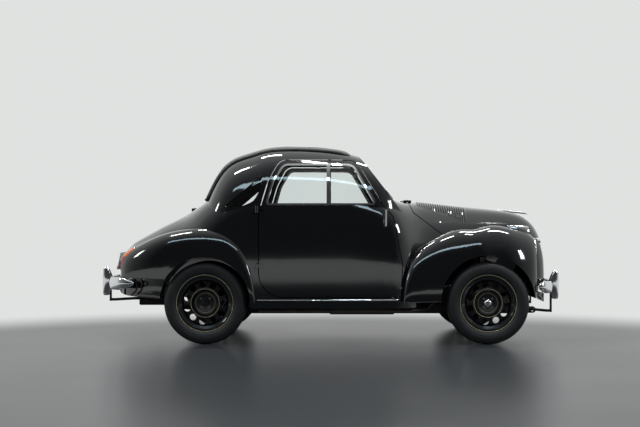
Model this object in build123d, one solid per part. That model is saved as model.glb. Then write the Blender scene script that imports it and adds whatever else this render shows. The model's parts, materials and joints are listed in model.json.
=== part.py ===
from build123d import *

# A two-seat city car of about 1950 with a roll-top roof, built as an assembly of its real pieces.
# Frame: +X to the nose, +Y to the car's left, +Z up, origin on the ground under the middle of its
# length. All sizes are millimetres.

import os
from math import atan2, copysign, cos, degrees, hypot, pi, sin

# ---------------------------------------------------------------- driving dimensions
wheelbase = 2000.0
front_overhang = 540.0        # front axle to the face of the front overriders
rear_overhang = 765.0         # rear axle to the face of the rear overriders
front_track = 1116.0
rear_track = 1083.0

tyre_radius = 292.0
tyre_width = 124.0
rim_radius = 198.0
rim_width = 96.0
hub_ring_radius = 94.0
wheel_hole_radius = 23.0
wheel_hole_circle = 132.0
wheel_hole_count = 11
nut_circle_radius = 43.0
nut_count = 4
stub_radius = 16.0
drum_radius = 107.0

wall = 28.0                   # thickness of body walls and of doors
fender_wall = 14.0
panel_gap = 6.0               # round doors and lids
seat_gap = 0.3                # between pieces that only rest on each other
running_gap = 0.05            # round pins and stubs

sill_bottom_z = 255.0
belt_z = 915.0
roof_top_z = 1408.0
roof_cloth = 14.0
cowl_z = 1022.0
body_half_width = 612.0

front_axle_x = (wheelbase + rear_overhang - front_overhang) / 2
rear_axle_x = front_axle_x - wheelbase
nose_face_x = front_axle_x + front_overhang
tail_face_x = rear_axle_x - rear_overhang

front_arch_radius = 338.0
rear_arch_radius = 325.0
front_well_inner_y = 330.0
rear_well_inner_y = 440.0

kingpin_y = 452.0
kingpin_radius = 12.0
steering_angle = 28.0

door_front_x = front_axle_x - 615.0
door_rear_x = rear_axle_x + 378.0
door_bottom_z = 331.0
door_top_z = 1310.0
door_hinge_y = 634.0
door_hinge_zs = (520.0, 930.0)
hinge_radius = 10.0
hinge_pin_radius = 5.0
lid_hinge_y = 180.0
lid_hinge_length = 60.0
lid_hinge_radius = 5.0
lid_pin_radius = 2.5
lid_hinge_gap = 1.0           # round a lid's barrels
hinge_length = 50.0

screen_base_x = front_axle_x - 655.0
screen_base_z = 1005.0
screen_lean = 0.755           # rearward run for each millimetre of height
glass = 5.0

bonnet_rear_x = front_axle_x - 546.0
lid_hinge_x = rear_axle_x - 120.0
lid_half_width = 330.0
lid_bottom_z = 690.0

rail_y = 262.0
rail_width = 50.0
rail_height = 62.0
rail_bottom_z = sill_bottom_z - rail_height

section_steps = 16
section_bunching = 1.8        # draws a section's points towards its foot and its crown


# ---------------------------------------------------------------- helpers
def quarter_share(share):
    """Share of a quarter turn, with small steps at both ends and large ones between."""
    return share**section_bunching / (share**section_bunching + (1 - share) ** section_bunching)


def outline_point(step, power):
    """Reach and rise, each as a share, of one point on a superelliptic arch."""
    quarters = 2 * step / section_steps
    share = quarter_share(quarters) if quarters <= 1 else 2 - quarter_share(2 - quarters)
    turn = pi / 2 * share
    return copysign(abs(cos(turn)) ** (2 / power), cos(turn)), abs(sin(turn)) ** (2 / power)


def shared_parameters():
    """Places of the points along every section's curve, so that all curves of a loft match."""
    typical = [outline_point(step, 4.5) for step in range(section_steps + 1)]
    places = [0.0]
    for before, after in zip(typical, typical[1:]):
        places.append(places[-1] + hypot(0.6 * (after[0] - before[0]), 0.8 * (after[1] - before[1])))
    return [place / places[-1] for place in places]


def section(x, y_mid, half_width, z_low, z_high, power):
    """Closed section in the plane of x: flat underneath, with superelliptic sides and crown."""
    points = []
    for step in range(section_steps + 1):
        reach, rise = outline_point(step, power)
        points.append(Vector(x, y_mid + half_width * reach, z_low + (z_high - z_low) * rise))
    points[-1] = Vector(x, y_mid - half_width, z_low)
    arch = Edge.make_spline(points, parameters=shared_parameters())
    return make_face([arch, Line(points[-1], points[0])])


def inset(stations, depth):
    """The same stations taken in by depth, square to the profile of their tops."""
    inner = []
    for index, (x, y_mid, half_width, z_low, z_high, power) in enumerate(stations):
        before = stations[max(index - 1, 0)]
        after = stations[min(index + 1, len(stations) - 1)]
        run = after[0] - before[0]
        rise = after[4] - before[4]
        length = hypot(run, rise)
        inner.append(
            (x + depth * rise / length, y_mid, half_width - depth, z_low + depth, z_high - depth * run / length, power)
        )
    return inner


def lofted(stations, depth=0.0):
    """Solid through the stations, taken in by depth."""
    return loft([section(*station) for station in inset(stations, depth)])


def block(x_low, x_high, y_low, y_high, z_low, z_high):
    """Box between its lowest and highest corners."""
    size = (x_high - x_low, y_high - y_low, z_high - z_low)
    middle = ((x_high + x_low) / 2, (y_high + y_low) / 2, (z_high + z_low) / 2)
    return Pos(*middle) * Box(*size)


def side_prism(outline, y_low, y_high):
    """Outline in the XZ plane drawn out from y_low to y_high."""
    face = Plane.XZ * outline
    return Pos(0, y_high, 0) * extrude(face, y_high - y_low)


def across(x, z, radius, y_low, y_high):
    """Round bar along Y."""
    return Pos(x, (y_low + y_high) / 2, z) * Rot(90, 0, 0) * Cylinder(radius, y_high - y_low)


def along(y, z, radius, x_low, x_high):
    """Round bar along X."""
    return Pos((x_low + x_high) / 2, y, z) * Rot(0, 90, 0) * Cylinder(radius, x_high - x_low)


def upright(x, y, radius, z_low, z_high):
    """Round bar along Z."""
    return Pos(x, y, (z_low + z_high) / 2) * Cylinder(radius, z_high - z_low)


def filleted(points, radii):
    """Closed polygon with a radius at each corner, as a flat face."""
    return make_face(FilletPolyline(*points, radius=radii, close=True))


def mirrored(shape):
    return mirror(shape, about=Plane.XZ)


def both(shape):
    """A piece of the left side with its mirror image."""
    return Part() + shape + mirrored(shape)


def save(name, shape):
    solids = shape.solids()
    export_step(Compound(children=solids) if len(solids) > 1 else solids[0], "parts/%s.step" % name)


os.makedirs("parts", exist_ok=True)

# ---------------------------------------------------------------- body surfaces
# columns: x, middle y, half width, bottom z, top z, power of the superellipse
hull_stations = [
    (rear_axle_x - 668, 0, 262, 400, 570, 2.6),
    (rear_axle_x - 652, 0, 335, 365, 632, 2.7),
    (rear_axle_x - 594, 0, 430, 340, 706, 2.8),
    (rear_axle_x - 480, 0, 505, 330, 776, 2.9),
    (rear_axle_x - 340, 0, 556, 320, 850, 3.0),
    (rear_axle_x - 190, 0, 588, 300, 922, 3.2),
    (rear_axle_x - 40, 0, 602, 275, 1010, 4.6),
    (rear_axle_x + 200, 0, body_half_width, sill_bottom_z - 5, 1120, 6.5),
    (rear_axle_x + 600, 0, body_half_width + 4, sill_bottom_z - 5, 1150, 7.0),
    (front_axle_x - 1000, 0, body_half_width + 4, sill_bottom_z - 5, 1150, 7.0),
    (front_axle_x - 750, 0, body_half_width - 4, sill_bottom_z - 5, 1085, 6.5),
    (front_axle_x - 630, 0, 592, sill_bottom_z - 5, cowl_z, 6.0),
    (front_axle_x - 480, 0, 520, 260, cowl_z - 9, 3.4),
    (front_axle_x - 300, 0, 442, 280, cowl_z - 22, 3.0),
    (front_axle_x - 50, 0, 362, 300, cowl_z - 47, 2.8),
    (front_axle_x + 180, 0, 302, 350, cowl_z - 72, 2.7),
    (front_axle_x + 330, 0, 264, 380, cowl_z - 112, 2.7),
    (front_axle_x + 410, 0, 236, 400, 848, 2.6),
    (front_axle_x + 455, 0, 208, 415, 768, 2.6),
    (front_axle_x + 476, 0, 176, 430, 690, 2.6),
]
cabin_stations = [
    (rear_axle_x - 92, 0, 560, 300, 930, 3.2),
    (rear_axle_x - 45, 0, 580, 300, 1000, 3.4),
    (rear_axle_x - 8, 0, 589, 300, 1070, 3.6),
    (rear_axle_x + 44, 0, 594, 300, 1172, 4.0),
    (rear_axle_x + 114, 0, 597, 300, 1272, 4.5),
    (rear_axle_x + 242, 0, 600, 300, 1346, 5.1),
    (rear_axle_x + 394, 0, 601, 300, 1390, 5.4),
    (rear_axle_x + 641, 0, 602, 300, roof_top_z, 5.5),
    (front_axle_x - 1067, 0, 601, 300, roof_top_z - 22, 5.5),
    (front_axle_x - 890, 0, 596, 300, 1346, 5.5),
    (front_axle_x - 740, 0, 578, 300, 1290, 5.3),
    (front_axle_x - 660, 0, 552, 300, 1252, 5.1),
    (front_axle_x - 580, 0, 506, 300, 1214, 4.8),
]

floor_top_z = sill_bottom_z + wall
hull = lofted(hull_stations) - block(-2000, 2000, -800, 800, -100, sill_bottom_z)
hull_inner = lofted(hull_stations, wall) - block(-2000, 2000, -800, 800, -100, floor_top_z)


def screen_x(z):
    """Where the front face of the windscreen plane stands at height z."""
    return screen_base_x - screen_lean * (z - screen_base_z)


def screen_slab(setback, thickness, z_low=880.0, z_high=1500.0):
    """Slab parallel with the windscreen, setback behind its plane."""
    reach = hypot(1, screen_lean)
    front = setback * reach
    back = (setback + thickness) * reach
    outline = Polyline(
        (screen_x(z_low) - front, z_low),
        (screen_x(z_high) - front, z_high),
        (screen_x(z_high) - back, z_high),
        (screen_x(z_low) - back, z_low),
        close=True,
    )
    return side_prism(make_face(outline), -700, 700)


above_belt = block(-2000, 2000, -700, 700, belt_z - 10, 1600)
behind_screen = screen_slab(0, 2500)
cabin = lofted(cabin_stations) & above_belt & behind_screen
cabin_inner = lofted(cabin_stations, wall) & block(-2000, 2000, -700, 700, belt_z - 60, 1600)

body = hull + cabin
hollow = hull_inner + (cabin_inner & behind_screen)
shell = body - hollow

# ---------------------------------------------------------------- wheel wells
def wheel_well(axle_x, radius, y_inner):
    """Space that the wheel needs on the left side, open downwards and outwards."""
    arch = across(axle_x, tyre_radius, radius, y_inner, 720)
    below = block(axle_x - radius, axle_x + radius, y_inner, 720, -10, tyre_radius)
    return arch + below


front_wells = both(wheel_well(front_axle_x, front_arch_radius, front_well_inner_y))
rear_wells = both(wheel_well(rear_axle_x, rear_arch_radius, rear_well_inner_y))

# rear floor, raised over the axle and its springs
raised_floor_z = 430.0
sheet = 12.0
kick_front_x = rear_axle_x + 250
kick_rear_x = rear_axle_x - 340
kick_space = block(kick_rear_x, kick_front_x, -rear_well_inner_y, rear_well_inner_y, 0, raised_floor_z)
kick_lining = block(
    kick_rear_x - sheet,
    kick_front_x + sheet,
    -rear_well_inner_y - sheet,
    rear_well_inner_y + sheet,
    0,
    raised_floor_z + sheet,
)
wheelhouses = both(wheel_well(rear_axle_x, rear_arch_radius + sheet, rear_well_inner_y - sheet))
bay_rear_x = front_axle_x - 505
tunnel_half_width = 70.0
tunnel_top_z = 326.0
tunnel_space = block(kick_front_x - 20, bay_rear_x + 1, -tunnel_half_width, tunnel_half_width, 0, tunnel_top_z)
tunnel_lining = block(
    kick_front_x - 1,
    bay_rear_x,
    -tunnel_half_width - sheet,
    tunnel_half_width + sheet,
    0,
    tunnel_top_z + sheet,
)
floor_lining = (kick_lining + wheelhouses + tunnel_lining) & hull_inner
shell = (shell + floor_lining) - rear_wells - kick_space - tunnel_space

# engine bay, open below and to the front wheels
bay_front_x = front_axle_x + 335
bay_side_z = 640.0
firewall = block(bay_rear_x - sheet, bay_rear_x, -700, 700, 0, 1100) & hull_inner
bay_space = block(bay_rear_x, bay_front_x, -700, 700, 0, bay_side_z)
shell = (shell + firewall) - bay_space - front_wells - tunnel_space

# ---------------------------------------------------------------- openings in the body
door_outline = filleted(
    [
        (door_front_x, door_bottom_z),
        (door_front_x + 17, 560),
        (door_front_x - 50, 905),
        (door_front_x - 123, 985),
        (door_front_x - 322, door_top_z),
        (door_rear_x + 150, door_top_z),
        (door_rear_x + 63, 1150),
        (door_rear_x + 14, 985),
        (door_rear_x, 924),
        (door_rear_x, door_bottom_z),
    ],
    [25, 300, 60, 30, 85, 85, 250, 80, 60, 175],
)
window_outline = filleted(
    [
        (door_front_x - 165, 985),
        (door_front_x - 337, door_top_z - 28),
        (door_rear_x + 172, door_top_z - 28),
        (door_rear_x + 92, 1150),
        (door_rear_x + 44, 985),
    ],
    [22, 72, 70, 250, 26],
)
quarter_outline = filleted(
    [
        (rear_axle_x + 128, 970),
        (rear_axle_x + 402, 1202),
        (rear_axle_x + 396, 1106),
        (rear_axle_x + 344, 1012),
        (rear_axle_x + 250, 972),
    ],
    [9, 7, 120, 80, 60],
)
bonnet_outline = Polyline(
    (bonnet_rear_x, 1150),
    (bonnet_rear_x, cowl_z - 22),
    (front_axle_x - 517, 931),
    (front_axle_x - 294, 765),
    (front_axle_x + 250, 716),
    (front_axle_x + 520, 752),
    (front_axle_x + 520, 1150),
    close=True,
)


def side_opening(outline, y_inner=430.0):
    return side_prism(outline, y_inner, 720)


def shrunk(outline, gap):
    return offset(outline, -gap)


door_openings = both(side_opening(door_outline))
bonnet_opening = side_prism(make_face(bonnet_outline), -600, 600)
bonnet_space = side_prism(shrunk(make_face(bonnet_outline), panel_gap), -600, 600)


def lid_prism(gap):
    """Space of the boot lid, drawn in along X up to its hinge line."""
    outline = filleted(
        [
            (-lid_half_width + gap, lid_bottom_z + gap),
            (lid_half_width - gap, lid_bottom_z + gap),
            (lid_half_width - gap, 1200),
            (-lid_half_width + gap, 1200),
        ],
        [110, 110, 5, 5],
    )
    face = Plane.YZ * outline
    return Pos(lid_hinge_x - gap - 900, 0, 0) * extrude(face, 900)


roof_rear_x = rear_axle_x - 36
header_x = front_axle_x - 975
sill_joint_x = door_front_x - 60   # butt between the cowl side and the sill
roof_half_width = 388.0
roof_opening = block(roof_rear_x, header_x, -roof_half_width, roof_half_width, 1020, 1500)

shell = shell - door_openings - both(side_opening(quarter_outline)) - bonnet_opening
shell = shell - lid_prism(0) - roof_opening

# the shell is divided where its panels meet
side_y = roof_half_width
everything_z = (-50, 1600)
nose_joint_x = bay_rear_x - sheet
side_zone = block(-2000, nose_joint_x, side_y, 720, *everything_z)
side_left = shell & side_zone
side_right = mirrored(side_left)
middle = shell - both(side_zone)
front_zone = block(nose_joint_x, 2000, -720, 720, *everything_z)
scuttle_zone = block(front_axle_x - 1060, nose_joint_x, -side_y, side_y, tunnel_top_z + sheet, 1600)
tail_zone = block(-2000, rear_axle_x + 100, -side_y, side_y, raised_floor_z + sheet, 1600)
nose = middle & front_zone
scuttle = middle & scuttle_zone
tail_panel = middle & tail_zone
floor_pan = middle - front_zone - scuttle_zone - tail_zone


# ---------------------------------------------------------------- doors, bonnet and boot lid
hinge_x = door_rear_x - 9


def hinge_parts():
    """Left door's two hinges: barrels on the body below, barrels with pins on the door above."""
    body_half = Part()
    door_half = Part()
    for z in door_hinge_zs:
        middle_z = z + hinge_length / 2
        lower = upright(hinge_x, door_hinge_y, hinge_radius, z, middle_z - seat_gap)
        lower -= upright(hinge_x, door_hinge_y, hinge_pin_radius + running_gap, z - 1, middle_z)
        upper = upright(hinge_x, door_hinge_y, hinge_radius, middle_z + seat_gap, z + hinge_length)
        upper += upright(hinge_x, door_hinge_y, hinge_pin_radius, z + 3, middle_z + 5)
        arm = block(hinge_x - 30, hinge_x - 3, door_hinge_y - 62, door_hinge_y - 4, z, middle_z - seat_gap)
        arm -= upright(hinge_x, door_hinge_y, hinge_pin_radius + running_gap, z - 1, middle_z)
        leaf = block(hinge_x + 3, hinge_x + 40, door_hinge_y - 62, door_hinge_y - 4, middle_z + seat_gap, z + hinge_length)
        body_half += lower + (arm - hollow)
        door_half += upper + (leaf - hollow)
    return body_half, door_half


hinge_body_half, hinge_door_half = hinge_parts()
skin = body - hollow
door_panel = skin & side_opening(shrunk(door_outline, panel_gap))
door_panel = door_panel - side_opening(window_outline)
hinge_clearance = Part()
for z in door_hinge_zs:
    hinge_clearance += upright(hinge_x, door_hinge_y, hinge_radius + 5, z - 5, z + hinge_length + 5)
door_left = (door_panel - hinge_clearance) + hinge_door_half
hinge_notch = Part()
for z in door_hinge_zs:
    hinge_notch += block(
        hinge_x - 3, door_rear_x + 20, door_hinge_y - 68, door_hinge_y, z + hinge_length / 2 - 5, z + hinge_length + 6
    )
side_left = (side_left - hinge_clearance - hinge_notch) + hinge_body_half
# the cowl side with its windscreen pillar is a pressing of its own, seated on the sill and the roof rail
def cowl_side_zone(gap):
    lower = block(sill_joint_x + gap, nose_joint_x + 1, side_y - 1, 720, -50, 700)
    return lower + block(header_x + gap, nose_joint_x + 1, side_y - 1, 720, 700, 1600)


side_left = (side_left - cowl_side_zone(0)) + (side_left & cowl_side_zone(seat_gap))
side_right = mirrored(side_left)

hull_skin = hull - hull_inner
bonnet = hull_skin & bonnet_space
boot_lid = hull_skin & lid_prism(panel_gap)


def hinge_barrel(x, z, side, y_low, y_high):
    """Half of a lid's hinge: a barrel along Y with its leaf on the given side."""
    half = across(x, z, lid_hinge_radius, y_low, y_high)
    half += block(*sorted((x, x + side * 9)), y_low, y_high, z - 3, z + 2)
    half += block(*sorted((x + side * 7, x + side * 30)), y_low, y_high, z - 24, z + 2)
    return half


def hinged(panel, lid, x, z, lid_side):
    """Panel and lid with two hinges about an axis along Y: barrels on both, pins on the lid."""
    for y in (-lid_hinge_y, lid_hinge_y):
        end = lid_hinge_length / 2
        panel -= across(x, z, lid_hinge_radius + lid_hinge_gap, y, y + end + lid_hinge_gap)
        panel += hinge_barrel(x, z, -lid_side, y - end, y - seat_gap)
        panel -= across(x, z, lid_pin_radius + running_gap, y - end - 1, y)
        lid += hinge_barrel(x, z, lid_side, y + seat_gap, y + end)
        lid += across(x, z, lid_pin_radius, y - end + 3, y + 5)
    return panel, lid


bonnet_hinge_x = bonnet_rear_x + 1
bonnet_hinge_z = cowl_z + 2
boot_hinge_z = 964.0
scuttle, bonnet = hinged(scuttle, bonnet, bonnet_hinge_x, bonnet_hinge_z, 1)
tail_panel, boot_lid = hinged(tail_panel, boot_lid, lid_hinge_x, boot_hinge_z, -1)

# ---------------------------------------------------------------- fenders
front_pod = [
    (front_axle_x - 597, 560, 56, 300, 352, 3.0),
    (front_axle_x - 590, 546, 76, 300, 430, 3.0),
    (front_axle_x - 575, 532, 94, 300, 520, 3.0),
    (front_axle_x - 541, 518, 113, 300, 600, 3.0),
    (front_axle_x - 437, 505, 132, 300, 706, 2.8),
    (front_axle_x - 316, 495, 146, 300, 772, 2.7),
    (front_axle_x - 162, 488, 154, 300, 813, 2.6),
    (front_axle_x + 9, 479, 164, 300, 836, 2.6),
    (front_axle_x + 144, 462, 176, 300, 828, 2.5),
    (front_axle_x + 230, 452, 172, 305, 808, 2.5),
    (front_axle_x + 290, 447, 160, 312, 790, 2.4),
    (front_axle_x + 328, 445, 144, 322, 768, 2.4),
    (front_axle_x + 350, 444, 122, 335, 744, 2.4),
]
rear_pod = [
    (rear_axle_x - 600, 440, 105, 470, 610, 3.0),
    (rear_axle_x - 560, 452, 128, 468, 655, 3.2),
    (rear_axle_x - 489, 460, 146, 468, 697, 3.6),
    (rear_axle_x - 381, 467, 160, 468, 750, 4.0),
    (rear_axle_x - 250, 470, 168, 460, 795, 4.3),
    (rear_axle_x - 108, 471, 172, 420, 820, 4.5),
    (rear_axle_x + 55, 471, 173, 340, 823, 4.5),
    (rear_axle_x + 143, 471, 173, 300, 806, 4.5),
    (rear_axle_x + 230, 470, 172, 300, 752, 4.2),
    (rear_axle_x + 292, 468, 170, 300, 664, 4.0),
    (rear_axle_x + 328, 465, 168, 300, 560, 4.0),
    (rear_axle_x + 348, 462, 165, 300, 440, 4.0),
    (rear_axle_x + 356, 460, 162, 300, 340, 4.0),
]


def open_below(stations, depth):
    """Inner faces of a fender: taken in by depth and drawn down past its edge."""
    return [(x, y, half, low - 120, high, power) for x, y, half, low, high, power in inset(stations, depth)]


def fender(stations, wells):
    outer = lofted(stations)
    inner = loft([section(*station) for station in open_below(stations[1:-1], fender_wall)])
    return outer - inner - body - wells


front_fender = fender(front_pod, front_wells)
rear_fender = fender(rear_pod, rear_wells)


# ---------------------------------------------------------------- roof cloth and glass
def skin_between(stations, outside, inside):
    """Layer between two depths outside the body surface."""
    return lofted(stations, -outside) - lofted(stations, -inside)


cloth_half_width = roof_half_width + 22
cloth_zone = block(roof_rear_x - 14, header_x + 10, -cloth_half_width, cloth_half_width, 1004, 1600)
back_light_low_z = 1112.0
back_light_high_z = 1228.0
back_light_half_width = 190.0
back_light = Rot(0, 90, 0) * extrude(
    RectangleRounded(back_light_high_z - back_light_low_z, 2 * back_light_half_width, 40), 400
)
back_light = Pos(rear_axle_x - 120, 0, (back_light_low_z + back_light_high_z) / 2) * back_light
soft_top = (skin_between(cabin_stations, roof_cloth + seat_gap, seat_gap) & cloth_zone) - back_light
soft_top -= lofted(hull_stations, -seat_gap)
back_glass_zone = Pos(rear_axle_x - 120, 0, (back_light_low_z + back_light_high_z) / 2) * (
    Rot(0, 90, 0)
    * extrude(
        RectangleRounded(
            back_light_high_z - back_light_low_z - 2 * seat_gap, 2 * (back_light_half_width - seat_gap), 40
        ),
        400,
    )
)
back_glass = skin_between(cabin_stations, 9, 9 - glass) & back_glass_zone

frame_width = 13.0
division_x = (door_front_x + door_rear_x) / 2 - 10
division = side_prism(
    make_face(
        Polyline(
            (division_x - 12, 985),
            (division_x + 12, 985),
            (division_x + 12, door_top_z - 28),
            (division_x - 12, door_top_z - 28),
            close=True,
        )
    ),
    430,
    720,
)
cabin_layer = cabin - lofted(cabin_stations, 20)
window_frame_left = cabin_layer & (side_prism(shrunk(window_outline, seat_gap), 430, 720))
window_frame_left = window_frame_left - (side_prism(shrunk(window_outline, frame_width), 430, 720) - division)
glass_layer = lofted(cabin_stations, 9) - lofted(cabin_stations, 9 + glass)
door_glass_zone = side_prism(shrunk(window_outline, frame_width + seat_gap), 430, 720)
door_glass_zone -= side_prism(
    make_face(
        Polyline(
            (division_x - 12 - seat_gap, 900),
            (division_x + 12 + seat_gap, 900),
            (division_x + 12 + seat_gap, 1400),
            (division_x - 12 - seat_gap, 1400),
            close=True,
        )
    ),
    430,
    720,
)
door_glass_left = glass_layer & door_glass_zone
quarter_glass_left = glass_layer & side_prism(shrunk(quarter_outline, seat_gap), 430, 720)
screen_glass = lofted(cabin_stations, wall + seat_gap) & screen_slab(16, glass)
screen_glass = screen_glass & block(-2000, 2000, -700, 700, cowl_z + 2, 1600)

handle_x = door_front_x - 108
handle_y = body_half_width + 14
handle_left = upright(handle_x, handle_y, 6, 836, 952)
for z in (846, 942):
    handle_left += across(handle_x, z, 5, handle_y - 70, handle_y)
handle_left -= body
door_trim_left = Part() + window_frame_left + handle_left

# ---------------------------------------------------------------- grille, lamps and bumpers
bar_pitch = 31.0
bar_height = 14.0
bar_count = 10
grille_bottom_z = 446.0
grille_half_width = 168.0
bar_proud = 9.0
grille_recess = block(front_axle_x + 380, nose_face_x, -grille_half_width, grille_half_width, grille_bottom_z - 8, grille_bottom_z + bar_count * bar_pitch)
bars = Part()
for index in range(bar_count):
    z = grille_bottom_z + index * bar_pitch
    bars += block(
        front_axle_x + 360, nose_face_x, seat_gap - grille_half_width, grille_half_width - seat_gap, z, z + bar_height
    )
for y in (-0.55 * grille_half_width, 0.55 * grille_half_width):
    bars += block(front_axle_x + 360, front_axle_x + 466, y - 5, y + 5, grille_bottom_z, grille_bottom_z + 9.45 * bar_pitch)
grille = bars & (hull - lofted(hull_stations, 24))
nose = nose - grille_recess

lamp_y = 444.0
lamp_z = 668.0
lamp_radius = 82.0
lamp_back_x = front_axle_x + 250
lamp_front_x = front_axle_x + 350
lamp_bore = along(lamp_y, lamp_z, lamp_radius + seat_gap, lamp_back_x, lamp_front_x + 50)
front_fender = front_fender - lamp_bore
lamp_shell = along(lamp_y, lamp_z, lamp_radius, lamp_back_x, lamp_front_x)
lamp_shell -= along(lamp_y, lamp_z, lamp_radius - 8, lamp_back_x + 8, lamp_front_x + 1)
lens_radius = lamp_radius - 8 - seat_gap
lens_rise = 24.0
lens_ball = ((lens_radius + 2) ** 2 + lens_rise**2) / (2 * lens_rise)
lens_back_x = lamp_front_x - 6
lens = along(lamp_y, lamp_z, lens_radius, lens_back_x, lens_back_x + lens_rise + 1)
lens = lens & Pos(lens_back_x + lens_rise - lens_ball, lamp_y, lamp_z) * Rot(0, 90, 0) * Sphere(lens_ball)
headlamp_rims = both(lamp_shell)
headlamp_lenses = both(lens)

park_lamp = [
    (front_axle_x + 159, 470, 6, 820, 838, 2.2),
    (front_axle_x + 197, 468, 17, 790, 841, 2.2),
    (front_axle_x + 242, 464, 23, 760, 842, 2.2),
    (front_axle_x + 282, 460, 24, 748, 838, 2.2),
    (front_axle_x + 308, 458, 21, 745, 832, 2.2),
]
park_lamps = both(lofted(park_lamp) - lofted(front_pod))

tail_lamp_stations = [
    (rear_axle_x - 606, 508, 30, 520, 600, 2.4),
    (rear_axle_x - 580, 512, 42, 516, 640, 2.4),
    (rear_axle_x - 545, 516, 50, 516, 668, 2.4),
    (rear_axle_x - 505, 520, 54, 530, 690, 2.4),
]
tail_lamp_left = lofted(tail_lamp_stations) - (loft([section(*s) for s in inset(rear_pod, -0.2)]) + lofted(hull_stations, -0.2))
tail_lamps = both(tail_lamp_left)


def bumper(face_x, sign, wrap, bottom_z, top_z, rider_y, rider_low, rider_high):
    """Curved blade with an overrider each side; sign is +1 at the front and -1 at the rear."""
    blade_x = face_x - sign * rider_depth
    corner_y = rider_y + 30
    path = FilletPolyline(
        (blade_x - sign * wrap, -bumper_half_width),
        (blade_x - sign * 6, -corner_y),
        (blade_x - sign * 6, corner_y),
        (blade_x - sign * wrap, bumper_half_width),
        radius=330,
    )
    blade = Pos(0, 0, bottom_z) * extrude(trace(path, blade_thickness), top_z - bottom_z)
    piece = Part() + blade
    profile = make_face(
        [
            ThreePointArc((0, rider_low), (sign * rider_depth, (rider_low + rider_high) / 2), (0, rider_high)),
            Line((0, rider_high), (0, rider_low)),
        ]
    )
    for y in (-rider_y, rider_y):
        piece += Pos(blade_x - sign * 3, 0, 0) * side_prism(profile, y - 21, y + 21)
        piece += block(*sorted((blade_x, blade_x - sign * 26)), y - 15, y + 15, bottom_z + 6, top_z - 6)
    return piece


rider_depth = 37.0
blade_thickness = 6.0
bumper_half_width = 575.0
rider_y = 400.0
front_blade_zs = (352.0, 430.0)
rear_blade_zs = (384.0, 470.0)
bumper_arm_y = rail_y
front_bumper = bumper(nose_face_x + 3, 1, 120, *front_blade_zs, rider_y, 312, 520)
rear_bumper = bumper(tail_face_x - 3, -1, 150, *rear_blade_zs, rider_y, 345, 552)

# ---------------------------------------------------------------- frame
rail_top_z = sill_bottom_z - seat_gap
rail_front_x = front_axle_x + 340
rail_rear_x = rear_axle_x - 520

over_axle_z = 336.0           # underside of the rails above the rear axle
rail_outline = filleted(
    [
        (rail_front_x, rail_bottom_z),
        (kick_front_x - 60, rail_bottom_z),
        (kick_front_x - 175, over_axle_z),
        (kick_rear_x + 95, over_axle_z),
        (kick_rear_x + 20, rail_top_z),
        (rail_rear_x, rail_top_z),
        (rail_rear_x, rail_top_z + 50),
        (kick_rear_x + 14, rail_top_z + 50),
        (kick_rear_x + 70, over_axle_z + rail_height),
        (kick_front_x - 150, over_axle_z + rail_height),
        (kick_front_x - 32, rail_top_z),
        (rail_front_x, rail_top_z),
    ],
    [10, 50, 40, 40, 40, 10, 10, 10, 40, 40, 30, 10],
)
rail = side_prism(rail_outline, rail_y - rail_width / 2, rail_y + rail_width / 2)
tow_eye_x = rail_front_x + 34
tow_eye_z = rail_bottom_z + 26
tow_eye_radius = 13.0
tow_eye = block(rail_front_x - 5, tow_eye_x, rail_y - 6, rail_y + 6, tow_eye_z - 24, tow_eye_z + 24)
tow_eye += across(tow_eye_x, tow_eye_z, 24, rail_y - 6, rail_y + 6)
tow_eye -= across(tow_eye_x, tow_eye_z, tow_eye_radius, rail_y - 7, rail_y + 7)
frame = both(rail + tow_eye)
inner_rail_y = rail_y - rail_width / 2
member_end_y = inner_rail_y - seat_gap
cross_member_xs = (rail_front_x - 60, front_axle_x - 620, front_axle_x - 1180)
for x in cross_member_xs:
    frame += block(x - 30, x + 30, -member_end_y, member_end_y, rail_bottom_z + 8, rail_top_z - 12)
frame += block(rail_rear_x + 20, rail_rear_x + 60, -member_end_y, member_end_y, rail_top_z + 8, rail_top_z + 44)

arm_thickness = 8.0
arm_half_width = 10.0


def bumper_arm(rail_end_x, blade_x, sign, rail_z, blade_z):
    """Flat spring-steel arm from a rail's side out to the back of the blade at the overrider."""
    outer = rail_y + rail_width / 2
    path = FilletPolyline(
        (rail_end_x - sign * 45, outer + arm_thickness / 2),
        (rail_end_x + sign * 30, outer + arm_thickness / 2),
        (blade_x - sign * 34, rider_y - arm_thickness / 2),
        (blade_x, rider_y - arm_thickness / 2),
        radius=12,
    )
    flat = Pos(0, 0, rail_z - arm_half_width) * extrude(trace(path, arm_thickness), 2 * arm_half_width)
    riser = block(
        *sorted((blade_x - sign * 6, blade_x - sign * 14)),
        rider_y - 26,
        rider_y + 6,
        min(rail_z, blade_z) - arm_half_width,
        max(rail_z, blade_z) + arm_half_width,
    )
    return flat + riser


front_blade_back_x = nose_face_x + 3 - rider_depth - 6 - blade_thickness / 2
rear_blade_back_x = tail_face_x - 3 + rider_depth + 6 + blade_thickness / 2

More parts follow.
